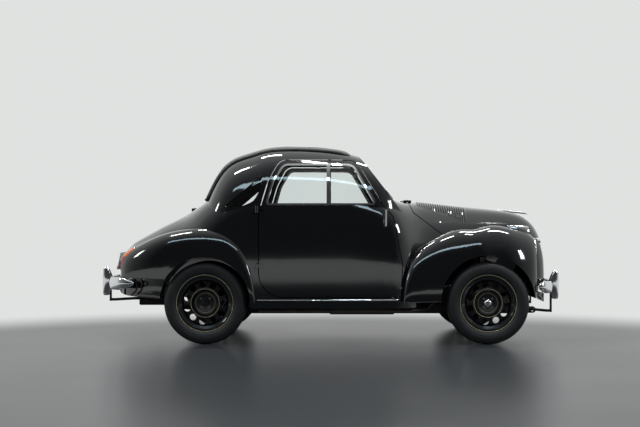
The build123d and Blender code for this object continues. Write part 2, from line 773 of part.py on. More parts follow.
# ---------------------------------------------------------------- front suspension
spring_top_z = 418.0
post_low_z = 196.0
front_parts = Part()
leaf_count = 5
leaf_height = 7.0
for index in range(leaf_count):
    half = kingpin_y + 18 - index * 75
    top = spring_top_z - index * leaf_height
    front_parts += block(front_axle_x - 25, front_axle_x + 25, -half, half, top - leaf_height, top)
spring_low_z = spring_top_z - leaf_count * leaf_height
front_parts += both(
    block(front_axle_x - 34, front_axle_x + 34, inner_rail_y, inner_rail_y + rail_width, rail_top_z, spring_low_z)
)
lower_arm = block(front_axle_x - 26, front_axle_x + 26, rail_y + rail_width / 2, kingpin_y + 24, post_low_z - 4, post_low_z + 20)
for sign in (-1, 1):
    brace = Polyline(
        (front_axle_x + sign * 10, kingpin_y - 30),
        (front_axle_x + sign * 150, rail_y + rail_width / 2),
        (front_axle_x + sign * 118, rail_y + rail_width / 2),
        (front_axle_x - sign * 8, kingpin_y - 30),
        close=True,
    )
    lower_arm += Pos(0, 0, post_low_z + 2) * extrude(make_face(brace), 14)
post = upright(front_axle_x, kingpin_y, kingpin_radius, post_low_z, spring_top_z - leaf_height)
front_suspension = front_parts + both(lower_arm + post)

sleeve_low_z = post_low_z + 24
sleeve_high_z = spring_top_z - leaf_height - 5
sleeve_radius = 20.0
front_wheel_y = front_track / 2
plate_inner_y = front_wheel_y - 66
knuckle = upright(front_axle_x, kingpin_y, sleeve_radius, sleeve_low_z, sleeve_high_z)
knuckle += across(front_axle_x, tyre_radius, 26, kingpin_y, plate_inner_y + 4)
knuckle += across(front_axle_x, tyre_radius, drum_radius - 4, plate_inner_y, plate_inner_y + 8)
knuckle += across(front_axle_x, tyre_radius, stub_radius, plate_inner_y, front_wheel_y - 4)
knuckle += block(front_axle_x - 128, front_axle_x, kingpin_y - 12, kingpin_y + 2, tyre_radius - 62, tyre_radius - 46)
knuckle_left = knuckle - upright(front_axle_x, kingpin_y, kingpin_radius + running_gap, 0, 600)

# ---------------------------------------------------------------- rear axle and springs
rear_wheel_y = rear_track / 2
axle_radius = 30.0
spring_y = 392.0
spring_width = 40.0
rear_plate_y = rear_wheel_y - 66
rear_axle = across(rear_axle_x, tyre_radius, axle_radius, -rear_plate_y, rear_plate_y)
gear_case_radius = 92.0
rear_axle += Pos(rear_axle_x, 0, tyre_radius) * Sphere(gear_case_radius)
for side in (-1, 1):
    rear_axle += across(
        rear_axle_x, tyre_radius, drum_radius - 4, *sorted((side * rear_plate_y, side * (rear_plate_y + 8)))
    )
    rear_axle += across(
        rear_axle_x, tyre_radius, stub_radius, *sorted((side * rear_plate_y, side * (rear_wheel_y - 4)))
    )
gearbox_x = front_axle_x - 500
shaft_z = 226.0
shaft_front = Vector(gearbox_x - 2, 0, shaft_z)
shaft_back = Vector(rear_axle_x + 60, 0, tyre_radius - 6)
shaft_run = shaft_front - shaft_back
shaft_radius = 21.0
shaft_place = Pos(*((shaft_front + shaft_back) * 0.5)) * Rot(0, 90 - degrees(atan2(shaft_run.Z, shaft_run.X)), 0)
propeller_shaft = shaft_place * Cylinder(shaft_radius, shaft_run.length)
propeller_shaft -= Pos(rear_axle_x, 0, tyre_radius) * Sphere(gear_case_radius + seat_gap)
frame -= shaft_place * Cylinder(shaft_radius + 9, shaft_run.length + 200)

leaf_top_z = tyre_radius - axle_radius - 10
front_eye = (rear_axle_x + 430, 236)
rear_eye = (rear_axle_x - 450, 300)
rear_leaf_count = 4
rear_leaf = 7.0
spring_face = Sketch()
for index in range(rear_leaf_count):
    drop = index * rear_leaf
    share = 1 - 0.2 * index
    start = (rear_axle_x + share * 430, leaf_top_z - drop - share**2 * (leaf_top_z - front_eye[1]))
    end = (rear_axle_x - share * 450, leaf_top_z - drop + share**2 * (rear_eye[1] - leaf_top_z))
    leaf = ThreePointArc(start, (rear_axle_x, leaf_top_z - drop - rear_leaf / 2), end)
    spring_face += trace(leaf, rear_leaf)
rear_spring = side_prism(spring_face, spring_y - spring_width / 2, spring_y + spring_width / 2)
rear_spring += across(*front_eye, 15, spring_y - spring_width / 2, spring_y + spring_width / 2)
rear_spring += across(*rear_eye, 15, spring_y - spring_width / 2, spring_y + spring_width / 2)
for x, z in (front_eye, rear_eye):
    rear_spring += across(x, z, 9, rail_y + rail_width / 2, spring_y)
rear_spring += block(
    rear_axle_x - 40, rear_axle_x + 40, spring_y - 24, spring_y + 24, leaf_top_z - 34, tyre_radius - axle_radius + 8
)
rear_spring -= across(rear_axle_x, tyre_radius, axle_radius + 0.01, -600, 600)
rear_springs = both(rear_spring) - rear_axle

# ---------------------------------------------------------------- wheels
disc_outer = [(170, -6), (166, 10), (150, 24), (112, 31), (96, 31), (82, 13), (26, 11)]
disc_thickness = 5.0


def wheel_solid(centre_x, centre_y):
    """Pressed wheel with its brake drum, outer face towards +Y."""
    rim = make_face(
        Polyline(
            (rim_radius + 6, rim_width / 2 + 3),
            (rim_radius + 6, rim_width / 2 - 1),
            (rim_radius - 8, rim_width / 2 - 4),
            (rim_radius - 12, 22),
            (rim_radius - 28, 16),
            (rim_radius - 28, -16),
            (rim_radius - 12, -22),
            (rim_radius - 8, 4 - rim_width / 2),
            (rim_radius + 6, 1 - rim_width / 2),
            (rim_radius + 6, -3 - rim_width / 2),
            (rim_radius - 13, -rim_width / 2),
            (rim_radius - 17, -26),
            (rim_radius - 33, -20),
            (rim_radius - 33, 20),
            (rim_radius - 17, 26),
            (rim_radius - 13, rim_width / 2),
            close=True,
        )
    )
    disc = make_face(
        Polyline(*disc_outer, *[(r, w - disc_thickness) for r, w in reversed(disc_outer)], close=True)
    )
    drum = make_face(
        Polyline(
            (0, 6.5), (60, 6.5), (drum_radius - 8, 0), (drum_radius, -8), (drum_radius, -55), (0, -55), close=True
        )
    )
    cap = make_face(
        Polyline((0, 6), (27, 6), (27, 16), (20, 27), (0, 31), close=True)
    )
    wheel = Part()
    for profile in (rim, disc, drum, cap):
        wheel += revolve(profile, Axis.Y)
    hole = across(wheel_hole_circle, 0, wheel_hole_radius, -12, 60)
    for index in range(wheel_hole_count):
        wheel -= Rot(0, index * 360 / wheel_hole_count, 0) * hole
    nut = Pos(nut_circle_radius, 14, 0) * Rot(90, 0, 0) * extrude(RegularPolygon(9, 6), 8, both=True)
    for index in range(nut_count):
        wheel += Rot(0, 45 + index * 360 / nut_count, 0) * nut
    wheel -= across(0, 0, stub_radius + running_gap, -60, 0)
    return Pos(centre_x, centre_y, tyre_radius) * wheel


def tyre_solid(centre_x, centre_y):
    """Tyre as a closed ring on its rim."""
    tread = tyre_width / 2 - 18
    bulge = tyre_width / 2
    bead = rim_width / 2 - 4.2
    seat = rim_radius - 7.9
    profile = make_face(
        [
            Line((seat, -bead), (seat + 4, -26)),
            Line((seat + 4, -26), (seat + 4, 26)),
            Line((seat + 4, 26), (seat, bead)),
            Line((seat, bead), (rim_radius + 6.2, bead + 3)),
            ThreePointArc((rim_radius + 6.2, bead + 3), (240, bulge), (tyre_radius - 13, bulge - 8)),
            ThreePointArc((tyre_radius - 13, bulge - 8), (tyre_radius - 3, tread + 6), (tyre_radius, tread)),
            Line((tyre_radius, tread), (tyre_radius, -tread)),
            ThreePointArc((tyre_radius, -tread), (tyre_radius - 3, -tread - 6), (tyre_radius - 13, 8 - bulge)),
            ThreePointArc((tyre_radius - 13, 8 - bulge), (240, -bulge), (rim_radius + 6.2, -bead - 3)),
            Line((rim_radius + 6.2, -bead - 3), (seat, -bead)),
        ]
    )
    return Pos(centre_x, centre_y, tyre_radius) * revolve(profile, Axis.Y)


wheel_places = {
    "front": (front_axle_x, front_wheel_y),
    "rear": (rear_axle_x, rear_wheel_y),
}
wheel_nodes = {}
for place, (x, y) in wheel_places.items():
    wheel_nodes["wheel_%s_left" % place] = wheel_solid(x, y)
    wheel_nodes["tyre_%s_left" % place] = tyre_solid(x, y)
for name in list(wheel_nodes):
    wheel_nodes[name.replace("left", "right")] = mirrored(wheel_nodes[name])

# ---------------------------------------------------------------- engine, exhaust and plates
engine = block(front_axle_x + 45, front_axle_x + 330, -150, 150, rail_top_z + 2, 590)
engine += block(gearbox_x, front_axle_x + 45, -95, 95, 182, 372)
engine_foot_x = front_axle_x + 170
engine += block(
    engine_foot_x - 25, engine_foot_x + 25, -rail_y, rail_y, rail_top_z + seat_gap, rail_top_z + 14
)

silencer_y = -452.0
silencer_z = 226.0
silencer_radius = 26.0
silencer_back_x = front_axle_x - 1118
silencer_front_x = front_axle_x - 659
pipe_radius = 15.0
silencer = along(silencer_y, silencer_z, silencer_radius, silencer_back_x, silencer_front_x)
pipe_path = Wire(
    FilletPolyline(
        (silencer_front_x - 5, silencer_y, silencer_z),
        (silencer_front_x + 130, silencer_y, silencer_z),
        (front_axle_x - 420, silencer_y + 90, silencer_z),
        (front_axle_x - 330, silencer_y + 130, silencer_z + 90),
        radius=50,
    ).edges()
)
tail_pipe = along(silencer_y, silencer_z, pipe_radius, rear_axle_x + 370, silencer_back_x + 5)
exhaust = silencer + tail_pipe
exhaust += sweep(Plane(pipe_path @ 0, z_dir=pipe_path % 0) * Circle(pipe_radius), pipe_path)
for x in (silencer_back_x - 40, silencer_front_x + 40):
    exhaust += block(x - 8, x + 8, silencer_y - 8, silencer_y + 8, silencer_z, sill_bottom_z - seat_gap)

front_plate_size = (262.0, 62.0)
front_plate_x = front_blade_back_x - 12
front_plate = block(
    front_plate_x - 2, front_plate_x, -front_plate_size[0] / 2, front_plate_size[0] / 2, 268, 268 + front_plate_size[1]
)
for y in (-90, 90):
    front_plate += block(front_plate_x - 8, front_plate_x - 2, y - 9, y + 9, 300, 400)
    front_plate += block(front_plate_x - 8, front_blade_back_x - seat_gap, y - 9, y + 9, 372, 400)
rear_plate_size = (275.0, 130.0)
rear_plate_lean = 12.0
rear_plate = Box(3, *rear_plate_size)
for y in (-90, 90):
    rear_plate += Pos(32, y, 0) * Rot(0, 90, 0) * Cylinder(9, 62)
lamp_hood = Pos(-10, 0, -rear_plate_size[1] / 2 + 8) * Box(34, 70, 22)
rear_plate += lamp_hood
rear_plate = Pos(rear_axle_x - 702, 0, 572) * Rot(0, rear_plate_lean, 0) * rear_plate
rear_plate -= hull
plates = Part() + front_plate + rear_plate

# ---------------------------------------------------------------- inside the cabin
seat_x = front_axle_x - 1140
seat_y = 232.0
seat_width = 420.0
cushion_depth = 430.0
cushion_z = floor_top_z + 140
cushion_profile = filleted(
    [
        (seat_x - cushion_depth / 2, cushion_z),
        (seat_x + cushion_depth / 2, cushion_z + 20),
        (seat_x + cushion_depth / 2, cushion_z + 135),
        (seat_x - cushion_depth / 2, cushion_z + 105),
    ],
    [15, 20, 45, 20],
)
back_profile = filleted(
    [
        (seat_x - cushion_depth / 2 + 30, cushion_z + 112),
        (seat_x - cushion_depth / 2 - 120, cushion_z + 560),
        (seat_x - cushion_depth / 2 - 210, cushion_z + 545),
        (seat_x - cushion_depth / 2 - 78, cushion_z + 70),
    ],
    [25, 42, 35, 20],
)
cushion = side_prism(cushion_profile, seat_y - seat_width / 2, seat_y + seat_width / 2)
squab = side_prism(back_profile, seat_y - seat_width / 2, seat_y + seat_width / 2)
seat_frame = Part()
for y in (seat_y - 150, seat_y + 150):
    seat_frame += block(
        seat_x - cushion_depth / 2 + 20,
        seat_x + cushion_depth / 2 - 20,
        y - 12,
        y + 12,
        floor_top_z + seat_gap,
        cushion_z + 25,
    )
seat_frame += block(seat_x - 20, seat_x + 20, seat_y - 150, seat_y + 150, cushion_z - 20, cushion_z - seat_gap)
cushions = both(cushion - side_prism(back_profile, 0, 600))
squabs = both(squab)
seat_frames = both(seat_frame) - shell - cushions

dash_x = screen_base_x - 60
dash_profile = filleted(
    [(dash_x, 800), (dash_x + 34, 800), (dash_x + 34, cowl_z - 60), (dash_x, cowl_z - 75)], [10, 10, 10, 25]
)
dashboard = side_prism(dash_profile, -600, 600) & lofted(hull_stations, wall + seat_gap)
dashboard = dashboard & block(-2000, 2000, -door_hinge_y + 90, door_hinge_y - 90, 0, 1600)
for y in (-370, 370):
    dashboard += block(dash_x + 30, bay_rear_x - sheet - seat_gap, y - 12, y + 12, 850, 874)

wheel_centre = Vector(dash_x - 185, seat_y, 900)
column_lean = 38.0
steering_radius = 200.0
steering_axis = Pos(*wheel_centre) * Rot(0, -column_lean, 0)
steering_wheel = Torus(steering_radius, 10)
steering_wheel += Cylinder(30, 40)
for angle in (90, 210, 330):
    steering_wheel += Rot(0, 0, angle) * Pos(steering_radius / 2, 0, 0) * Box(steering_radius, 14, 6)
steering_wheel -= Pos(0, 0, -14) * Cylinder(11 + running_gap, 28)
steering_wheel = steering_axis * steering_wheel
column = Pos(0, 0, -270) * Cylinder(11, 512)
column += Pos(0, 0, -390) * Cylinder(20, 600)
column = steering_axis * column & block(-2000, bay_rear_x - sheet - seat_gap, -700, 700, 0, 1600)

wiper_left = Part()
for y in (-120.0, 210.0):
    base = screen_slab(-9, 5, 800, 1500) & block(-2000, 2000, y - 4, y + 4, cowl_z + 12, cowl_z + 110)
    blade = screen_slab(-5, 5, 800, 1500) & block(-2000, 2000, y - 8, y + 8, cowl_z + 40, cowl_z + 160)
    wiper_left += base + blade
    foot_x = screen_x(cowl_z + 16) + 9
    wiper_left += upright(foot_x, y, 9, cowl_z - 60, cowl_z + 24)
wipers = wiper_left - body - screen_glass

# ---------------------------------------------------------------- nodes
front_bumper += both(bumper_arm(rail_front_x, front_blade_back_x, 1, rail_top_z - 31, front_blade_zs[0] + 30))
rear_bumper += both(bumper_arm(rail_rear_x, rear_blade_back_x, -1, rail_top_z + 50, rear_blade_zs[0] + 30))

nodes = {
    "chassis_frame": frame,
    "floor_pan": floor_pan,
    "body_side_left": side_left,
    "body_side_right": side_right,
    "scuttle_and_header": scuttle,
    "nose_panel": nose,
    "tail_panel": tail_panel,
    "front_fenders": both(front_fender),
    "rear_fenders": both(rear_fender),
    "soft_top": soft_top,
    "fixed_windows": both(quarter_glass_left) + back_glass + screen_glass,
    "grille": grille,
    "front_lamps": headlamp_rims + park_lamps,
    "headlamp_lenses": headlamp_lenses,
    "tail_lamps": tail_lamps,
    "front_bumper": front_bumper,
    "rear_bumper": rear_bumper,
    "number_plates": plates,
    "engine": engine,
    "exhaust": exhaust,
    "front_suspension": front_suspension,
    "rear_axle": rear_axle + rear_springs + propeller_shaft,
    "seat_frames": seat_frames,
    "seats": cushions + squabs,
    "dashboard": dashboard + column,
    "steering_wheel": steering_wheel,
    "wipers": wipers,
    "door_left": door_left,
    "door_right": mirrored(door_left),
    "door_glass_left": door_glass_left,
    "door_glass_right": mirrored(door_glass_left),
    "door_trim_left": door_trim_left,
    "door_trim_right": mirrored(door_trim_left),
    "bonnet": bonnet,
    "boot_lid": boot_lid,
    "knuckle_left": knuckle_left,
    "knuckle_right": mirrored(knuckle_left),
}
nodes.update(wheel_nodes)

for name, shape in nodes.items():
    save(name, shape)
    print(name, len(shape.solids()), round(shape.volume / 1000), shape.bounding_box())
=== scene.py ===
import json
import math
import bpy
import numpy as np
from mathutils import Matrix, Vector
from mathutils.bvhtree import BVHTree


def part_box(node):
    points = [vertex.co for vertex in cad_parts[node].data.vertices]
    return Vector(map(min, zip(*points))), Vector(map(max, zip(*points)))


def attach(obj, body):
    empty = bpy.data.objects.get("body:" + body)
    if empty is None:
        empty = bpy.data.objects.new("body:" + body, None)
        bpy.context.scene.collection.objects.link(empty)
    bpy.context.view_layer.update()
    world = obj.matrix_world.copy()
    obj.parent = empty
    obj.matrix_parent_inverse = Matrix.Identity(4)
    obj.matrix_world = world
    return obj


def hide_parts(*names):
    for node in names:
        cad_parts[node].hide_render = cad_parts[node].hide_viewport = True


# Looks of the two-seat roll-top city car. Metres, row frame: +X nose, +Y car's left, +Z up.

bpy.context.scene.view_settings.view_transform = "Standard"
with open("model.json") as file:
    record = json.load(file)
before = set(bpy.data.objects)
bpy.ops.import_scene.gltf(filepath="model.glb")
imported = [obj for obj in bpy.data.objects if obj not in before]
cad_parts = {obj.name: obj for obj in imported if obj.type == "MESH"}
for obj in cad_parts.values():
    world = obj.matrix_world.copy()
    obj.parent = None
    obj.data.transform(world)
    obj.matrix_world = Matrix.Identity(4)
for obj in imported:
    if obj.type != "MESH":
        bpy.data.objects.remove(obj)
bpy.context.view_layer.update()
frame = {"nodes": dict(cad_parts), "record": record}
NODES = frame["nodes"]
SIDES = (("left", 1), ("right", -1))

AXLES = (  # end, X and Z of the wheels' centre, and its distance from the middle of the car
    ("front", 1.1125, 0.292, 0.558),
    ("rear", -0.8875, 0.292, 0.5415),
)
AMBER_ABOVE_Z = 0.622  # where a tail lamp turns from red to amber
ROOF_HALF_WIDTH = 0.408
ROOF_BOW_PITCH = 0.235
SEAT_Y = 0.232  # middle of a seat, of the steering wheel and of the gauge
HUB = Vector((0.2125, SEAT_Y, 0.900))
TURN = Matrix.Rotation(math.radians(-38), 4, "Y")  # from upright to the slope of the steering column
GAUGE = (0.3965, SEAT_Y, 0.875)
LAMP_Y, LAMP_Z = 0.444, 0.668
LAMP_BOWL_X, LAMP_RIM_X = 1.3865, 1.4600
LOUVRES, LOUVRE_X, LOUVRE_PITCH = 21, 0.640, 0.0175
SILL_STRIP_Z = 0.3145
BLADE_HALF_DEPTH = 0.011
RIDER_Y = 0.400  # overriders
RAIL_Y = 0.291  # chassis rails that carry the bumper irons
SCREEN_SLOPE = 0.755  # how far the windscreen leans back for each metre up


# ---------------------------------------------------------------- materials
def shader(name, color, rough=0.5, metallic=0.0, coat=0.0, vary=0.12, scale=12.0, rough_vary=0.04,
           bump=0.0, bump_scale=300.0, **sockets):
    """Principled material whose colour, roughness and relief come from noise in the piece's own space."""
    m = bpy.data.materials.new(name)
    m.use_nodes = True
    tree = m.node_tree
    node = tree.nodes["Principled BSDF"]
    node.inputs["Base Color"].default_value = (*color, 1)
    node.inputs["Roughness"].default_value = rough
    node.inputs["Metallic"].default_value = metallic
    node.inputs["Coat Weight"].default_value = coat
    for key, value in sockets.items():
        node.inputs[key.replace("_", " ")].default_value = value
    place = tree.nodes.new("ShaderNodeTexCoord")
    noise = tree.nodes.new("ShaderNodeTexNoise")
    noise.inputs["Scale"].default_value = scale
    noise.inputs["Detail"].default_value = 5
    tree.links.new(place.outputs["Object"], noise.inputs["Vector"])
    tint = tree.nodes.new("ShaderNodeMix")
    tint.data_type = "RGBA"
    tint.inputs["A"].default_value = (*[c * (1 - vary) for c in color], 1)
    tint.inputs["B"].default_value = (*[min(c * (1 + vary), 1) for c in color], 1)
    tree.links.new(noise.outputs["Fac"], tint.inputs["Factor"])
    tree.links.new(tint.outputs["Result"], node.inputs["Base Color"])
    spread = tree.nodes.new("ShaderNodeMapRange")
    spread.inputs["To Min"].default_value = max(rough - rough_vary, 0)
    spread.inputs["To Max"].default_value = rough + rough_vary
    tree.links.new(noise.outputs["Fac"], spread.inputs["Value"])
    tree.links.new(spread.outputs["Result"], node.inputs["Roughness"])
    if bump:
        grain = tree.nodes.new("ShaderNodeTexNoise")
        grain.inputs["Scale"].default_value = bump_scale
        tree.links.new(place.outputs["Object"], grain.inputs["Vector"])
        relief = tree.nodes.new("ShaderNodeBump")
        relief.inputs["Strength"].default_value = bump
        relief.inputs["Distance"].default_value = 0.001
        tree.links.new(grain.outputs["Fac"], relief.inputs["Height"])
        tree.links.new(relief.outputs["Normal"], node.inputs["Normal"])
    return m


def woven(name, color, pitch, rough=0.85, depth=0.35):
    """Woven cloth: two crossed sets of waves over the noise material."""
    m = shader(name, color, rough, vary=0.2, scale=25, rough_vary=0.06)
    tree = m.node_tree
    node = tree.nodes["Principled BSDF"]
    place = tree.nodes["Texture Coordinate"]
    total = None
    for direction in ("X", "Y"):
        wave = tree.nodes.new("ShaderNodeTexWave")
        wave.bands_direction = direction
        wave.inputs["Scale"].default_value = 0.5 / pitch
        tree.links.new(place.outputs["Object"], wave.inputs["Vector"])
        if total is None:
            total = wave.outputs["Fac"]
        else:
            add = tree.nodes.new("ShaderNodeMath")
            add.operation = "ADD"
            tree.links.new(total, add.inputs[0])
            tree.links.new(wave.outputs["Fac"], add.inputs[1])
            total = add.outputs["Value"]
    relief = tree.nodes.new("ShaderNodeBump")
    relief.inputs["Strength"].default_value = depth
    relief.inputs["Distance"].default_value = 0.0008
    tree.links.new(total, relief.inputs["Height"])
    tree.links.new(relief.outputs["Normal"], node.inputs["Normal"])
    node.inputs["Sheen Weight"].default_value = 0.15
    return m


def clear(name, color, rough=0.0):
    """Glass that lets light through to what stands behind it."""
    m = shader(name, color, rough, vary=0.05, scale=3, rough_vary=0.0, Transmission_Weight=1.0, IOR=1.45)
    tree = m.node_tree
    path = tree.nodes.new("ShaderNodeLightPath")
    see = tree.nodes.new("ShaderNodeBsdfTransparent")
    see.inputs["Color"].default_value = (*color, 1)
    mix = tree.nodes.new("ShaderNodeMixShader")
    tree.links.new(path.outputs["Is Shadow Ray"], mix.inputs["Fac"])
    tree.links.new(tree.nodes["Principled BSDF"].outputs["BSDF"], mix.inputs[1])
    tree.links.new(see.outputs["BSDF"], mix.inputs[2])
    tree.links.new(mix.outputs["Shader"], tree.nodes["Material Output"].inputs["Surface"])
    return m


PAINT = shader("body_paint", (0.0016, 0.0022, 0.0038), 0.07, coat=1.0, vary=0.3, scale=2.5, rough_vary=0.015,
               bump=0.02, bump_scale=90, Coat_Roughness=0.03, IOR=1.5)
WHEEL_PAINT = shader("wheel_paint", (0.004, 0.0045, 0.0055), 0.14, coat=0.6, vary=0.3, scale=6,
                     Coat_Roughness=0.05)
CHASSIS = shader("chassis_paint", (0.012, 0.012, 0.013), 0.5, vary=0.3, scale=9, rough_vary=0.1, bump=0.2)
DASH = shader("dash_paint", (0.016, 0.016, 0.018), 0.35, vary=0.2, scale=8, coat=0.3)
ROOF = woven("roof_cloth", (0.085, 0.084, 0.08), 0.0016)
SEAT = woven("seat_fabric", (0.20, 0.165, 0.12), 0.004, depth=0.6)
GLASS = clear("clear_glass", (0.93, 0.975, 0.97))
LAMP_GLASS = clear("lamp_glass", (0.95, 0.97, 0.97), 0.05)
RED = shader("red_lens", (0.35, 0.006, 0.006), 0.08, vary=0.25, scale=60, coat=1.0)
CHROME = shader("bright_trim", (0.72, 0.73, 0.75), 0.07, metallic=1.0, vary=0.06, scale=20, rough_vary=0.03)
PLATE = shader("plate_enamel", (0.66, 0.66, 0.62), 0.35, vary=0.05, scale=15)
IRON = shader("cast_grey", (0.13, 0.13, 0.125), 0.6, metallic=0.6, vary=0.3, scale=30, bump=0.5,
              bump_scale=150)
EXHAUST = shader("exhaust_steel", (0.16, 0.145, 0.13), 0.5, metallic=0.8, vary=0.4, scale=14,
                 rough_vary=0.12, bump=0.2)
BAKELITE = shader("wheel_bakelite", (0.012, 0.012, 0.013), 0.2, vary=0.2, scale=20, coat=0.4)
RUBBER = shader("tyre_rubber", (0.008, 0.009, 0.0105), 0.55, vary=0.3, scale=18, rough_vary=0.1, bump=0.15,
                bump_scale=500)
SEAL = shader("black_rubber", (0.01, 0.01, 0.011), 0.55, vary=0.2, scale=40)
CREAM = shader("cream_line", (0.50, 0.43, 0.27), 0.3, vary=0.1, scale=40)
# painted shade: near-black fill that stands in for the shade inside the bonnet louvres' openings
GAP_SHADE = shader("painted_gap_shade", (0.003, 0.003, 0.003), 0.9, vary=0.2, scale=20)
DIAL = shader("dial_face", (0.62, 0.6, 0.52), 0.5, vary=0.06, scale=80)


def banded(material, color, height):
    """Gives the material a second colour above a height in the row frame."""
    tree = material.node_tree
    split = tree.nodes.new("ShaderNodeSeparateXYZ")
    tree.links.new(tree.nodes["Texture Coordinate"].outputs["Object"], split.inputs["Vector"])
    above = tree.nodes.new("ShaderNodeMath")
    above.operation = "GREATER_THAN"
    above.inputs[1].default_value = height
    tree.links.new(split.outputs["Z"], above.inputs[0])
    mix = tree.nodes.new("ShaderNodeMix")
    mix.data_type = "RGBA"
    mix.inputs["B"].default_value = (*color, 1)
    tree.links.new(above.outputs["Value"], mix.inputs["Factor"])
    tree.links.new(tree.nodes["Mix"].outputs["Result"], mix.inputs["A"])
    tree.links.new(mix.outputs["Result"], tree.nodes["Principled BSDF"].inputs["Base Color"])


banded(RED, (0.80, 0.16, 0.02), AMBER_ABOVE_Z)

SLOTS = {
    "body_paint": PAINT, "wheel_paint": WHEEL_PAINT, "chassis_paint": CHASSIS, "dash_paint": DASH,
    "roof_cloth": ROOF, "seat_fabric": SEAT, "clear_glass": GLASS, "lamp_glass": LAMP_GLASS,
    "red_lens": RED, "bright_trim": CHROME, "plate_enamel": PLATE, "cast_grey": IRON,
    "exhaust_steel": EXHAUST, "wheel_bakelite": BAKELITE, "tyre_rubber": RUBBER,
}
# every CAD node wears the material of its own slot
for part in frame["record"]["subparts"]:
    node = NODES[part["node"]]
    node.data.materials.clear()
    node.data.materials.append(SLOTS[part["material_slot"]])


# ---------------------------------------------------------------- helpers
def piece(name, verts, faces, body, material, slot=None, smooth=True, replaces=()):
    """A mesh in the row frame that rides on one body."""
    mesh = bpy.data.meshes.new(name)
    mesh.from_pydata([tuple(v) for v in verts], [], [tuple(f) for f in faces])
    mesh.validate()
    mesh.update()
    mesh.materials.append(material)
    if smooth:
        mesh.shade_smooth()
    obj = bpy.data.objects.new(name, mesh)
    bpy.context.scene.collection.objects.link(obj)
    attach(obj, body)
    if replaces:
        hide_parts(*replaces)
    return obj


def merged(*parts):
    """Several parts as one."""
    verts, faces = [], []
    for v, f in parts:
        base = len(verts)
        verts.extend(v)
        faces.extend([tuple(base + i for i in face) for face in f])
    return verts, faces


def flipped(part):
    """The same part on the other side of the car."""
    verts, faces = part
    return [(x, -y, z) for x, y, z in verts], [tuple(reversed(f)) for f in faces]


def both(part):
    """A part of the car's left side with its mirror."""
    return merged(part, flipped(part))


def tube(points, radius, sides=10, flat=1.0):
    """Closed rod through the points. radius is one number or one for each point; flat scales its height."""
    points = [Vector(p) for p in points]
    radii = radius if hasattr(radius, "__len__") else [radius] * len(points)
    verts, faces = [], []
    for i, p in enumerate(points):
        along = (points[min(i + 1, len(points) - 1)] - points[max(i - 1, 0)]).normalized()
        side = along.cross(Vector((0, 0, 1)))
        side = side.normalized() if side.length > 1e-6 else Vector((0, 1, 0))
        top = side.cross(along).normalized()
        for k in range(sides):
            a = 2 * math.pi * k / sides
            verts.append(tuple(p + side * (radii[i] * math.cos(a)) + top * (radii[i] * flat * math.sin(a))))
    for i in range(len(points) - 1):
        for k in range(sides):
            a, b = i * sides + k, i * sides + (k + 1) % sides
            faces.append((a, b, b + sides, a + sides))
    faces.append(tuple(reversed(range(sides))))
    faces.append(tuple(range((len(points) - 1) * sides, len(points) * sides)))
    return verts, faces


def loft(rows):
    """Closed, capped solid through rings of points, each ring in the same order."""
    n = len(rows[0])
    verts = [tuple(p) for row in rows for p in row]
    faces = []
    for i in range(len(rows) - 1):
        for k in range(n):
            a, b = i * n + k, i * n + (k + 1) % n
            faces.append((a, b, b + n, a + n))
    faces += [tuple(reversed(range(n))), tuple(range((len(rows) - 1) * n, len(rows) * n))]
    return verts, faces


def power(v, e):
    """Power of a signed number that keeps its sign."""
    return math.copysign(abs(v) ** e, v)


def oval(centre, half_x, half_y, bulge, steps=28):
    """Level superelliptic ring about a centre."""
    x, y, z = centre
    turns = [2 * math.pi * k / steps for k in range(steps)]
    return [(x + half_x * power(math.cos(a), 2 / bulge), y + half_y * power(math.sin(a), 2 / bulge), z)
            for a in turns]


def ring(profile, centre, steps=96, side=1):
    """Closed profile of (radius, out) turned about an axis along Y at centre; out points to side."""
    verts, faces = [], []
    count = len(profile)
    for k in range(steps):
        a = 2 * math.pi * k / steps
        for r, w in profile:
            verts.append((centre[0] + r * math.cos(a), centre[1] + side * w, centre[2] + r * math.sin(a)))
    for k in range(steps):
        for j in range(count):
            a, b = k * count + j, k * count + (j + 1) % count
            c, d = (a + count) % (steps * count), (b + count) % (steps * count)
            faces.append((a, b, d, c) if side > 0 else (a, c, d, b))
    return verts, faces


def dome(profile, centre, steps=48, side=1, axis="Y"):
    """Solid of revolution whose open profile of (radius, out) starts and ends on the axis."""
    rim = [p for p in profile if p[0] > 0]
    verts, faces = [], []
    for k in range(steps):
        a = 2 * math.pi * k / steps
        for r, w in rim:
            verts.append((r * math.cos(a), side * w, r * math.sin(a)))
    n = len(rim)
    first, last = len(verts), len(verts) + 1
    verts += [(0, side * profile[0][1], 0), (0, side * profile[-1][1], 0)]
    for k in range(steps):
        m = (k + 1) % steps
        for j in range(n - 1):
            f = (k * n + j, k * n + j + 1, m * n + j + 1, m * n + j)
            faces.append(f if side > 0 else tuple(reversed(f)))
        f, g = (first, k * n, m * n), (last, m * n + n - 1, k * n + n - 1)
        faces += [f, g] if side > 0 else [tuple(reversed(f)), tuple(reversed(g))]
    if axis == "X":
        verts = [(y, x, z) for x, y, z in verts]
        faces = [tuple(reversed(f)) for f in faces]
    return [(x + centre[0], y + centre[1], z + centre[2]) for x, y, z in verts], faces


def cuboid(low, high):
    """Closed box between two corners."""
    (a, b, c), (d, e, f) = low, high
    verts = [(a, b, c), (d, b, c), (d, e, c), (a, e, c), (a, b, f), (d, b, f), (d, e, f), (a, e, f)]
    return verts, [(0, 3, 2, 1), (4, 5, 6, 7), (0, 1, 5, 4), (1, 2, 6, 5), (2, 3, 7, 6), (3, 0, 4, 7)]


def surface(*names):
    """Ray target made of CAD nodes."""
    verts, faces = [], []
    for name in names:
        mesh = NODES[name].data
        base = len(verts)
        verts.extend([v.co.copy() for v in mesh.vertices])
        faces.extend([[base + i for i in p.vertices] for p in mesh.polygons])
    return BVHTree.FromPolygons(verts, faces)


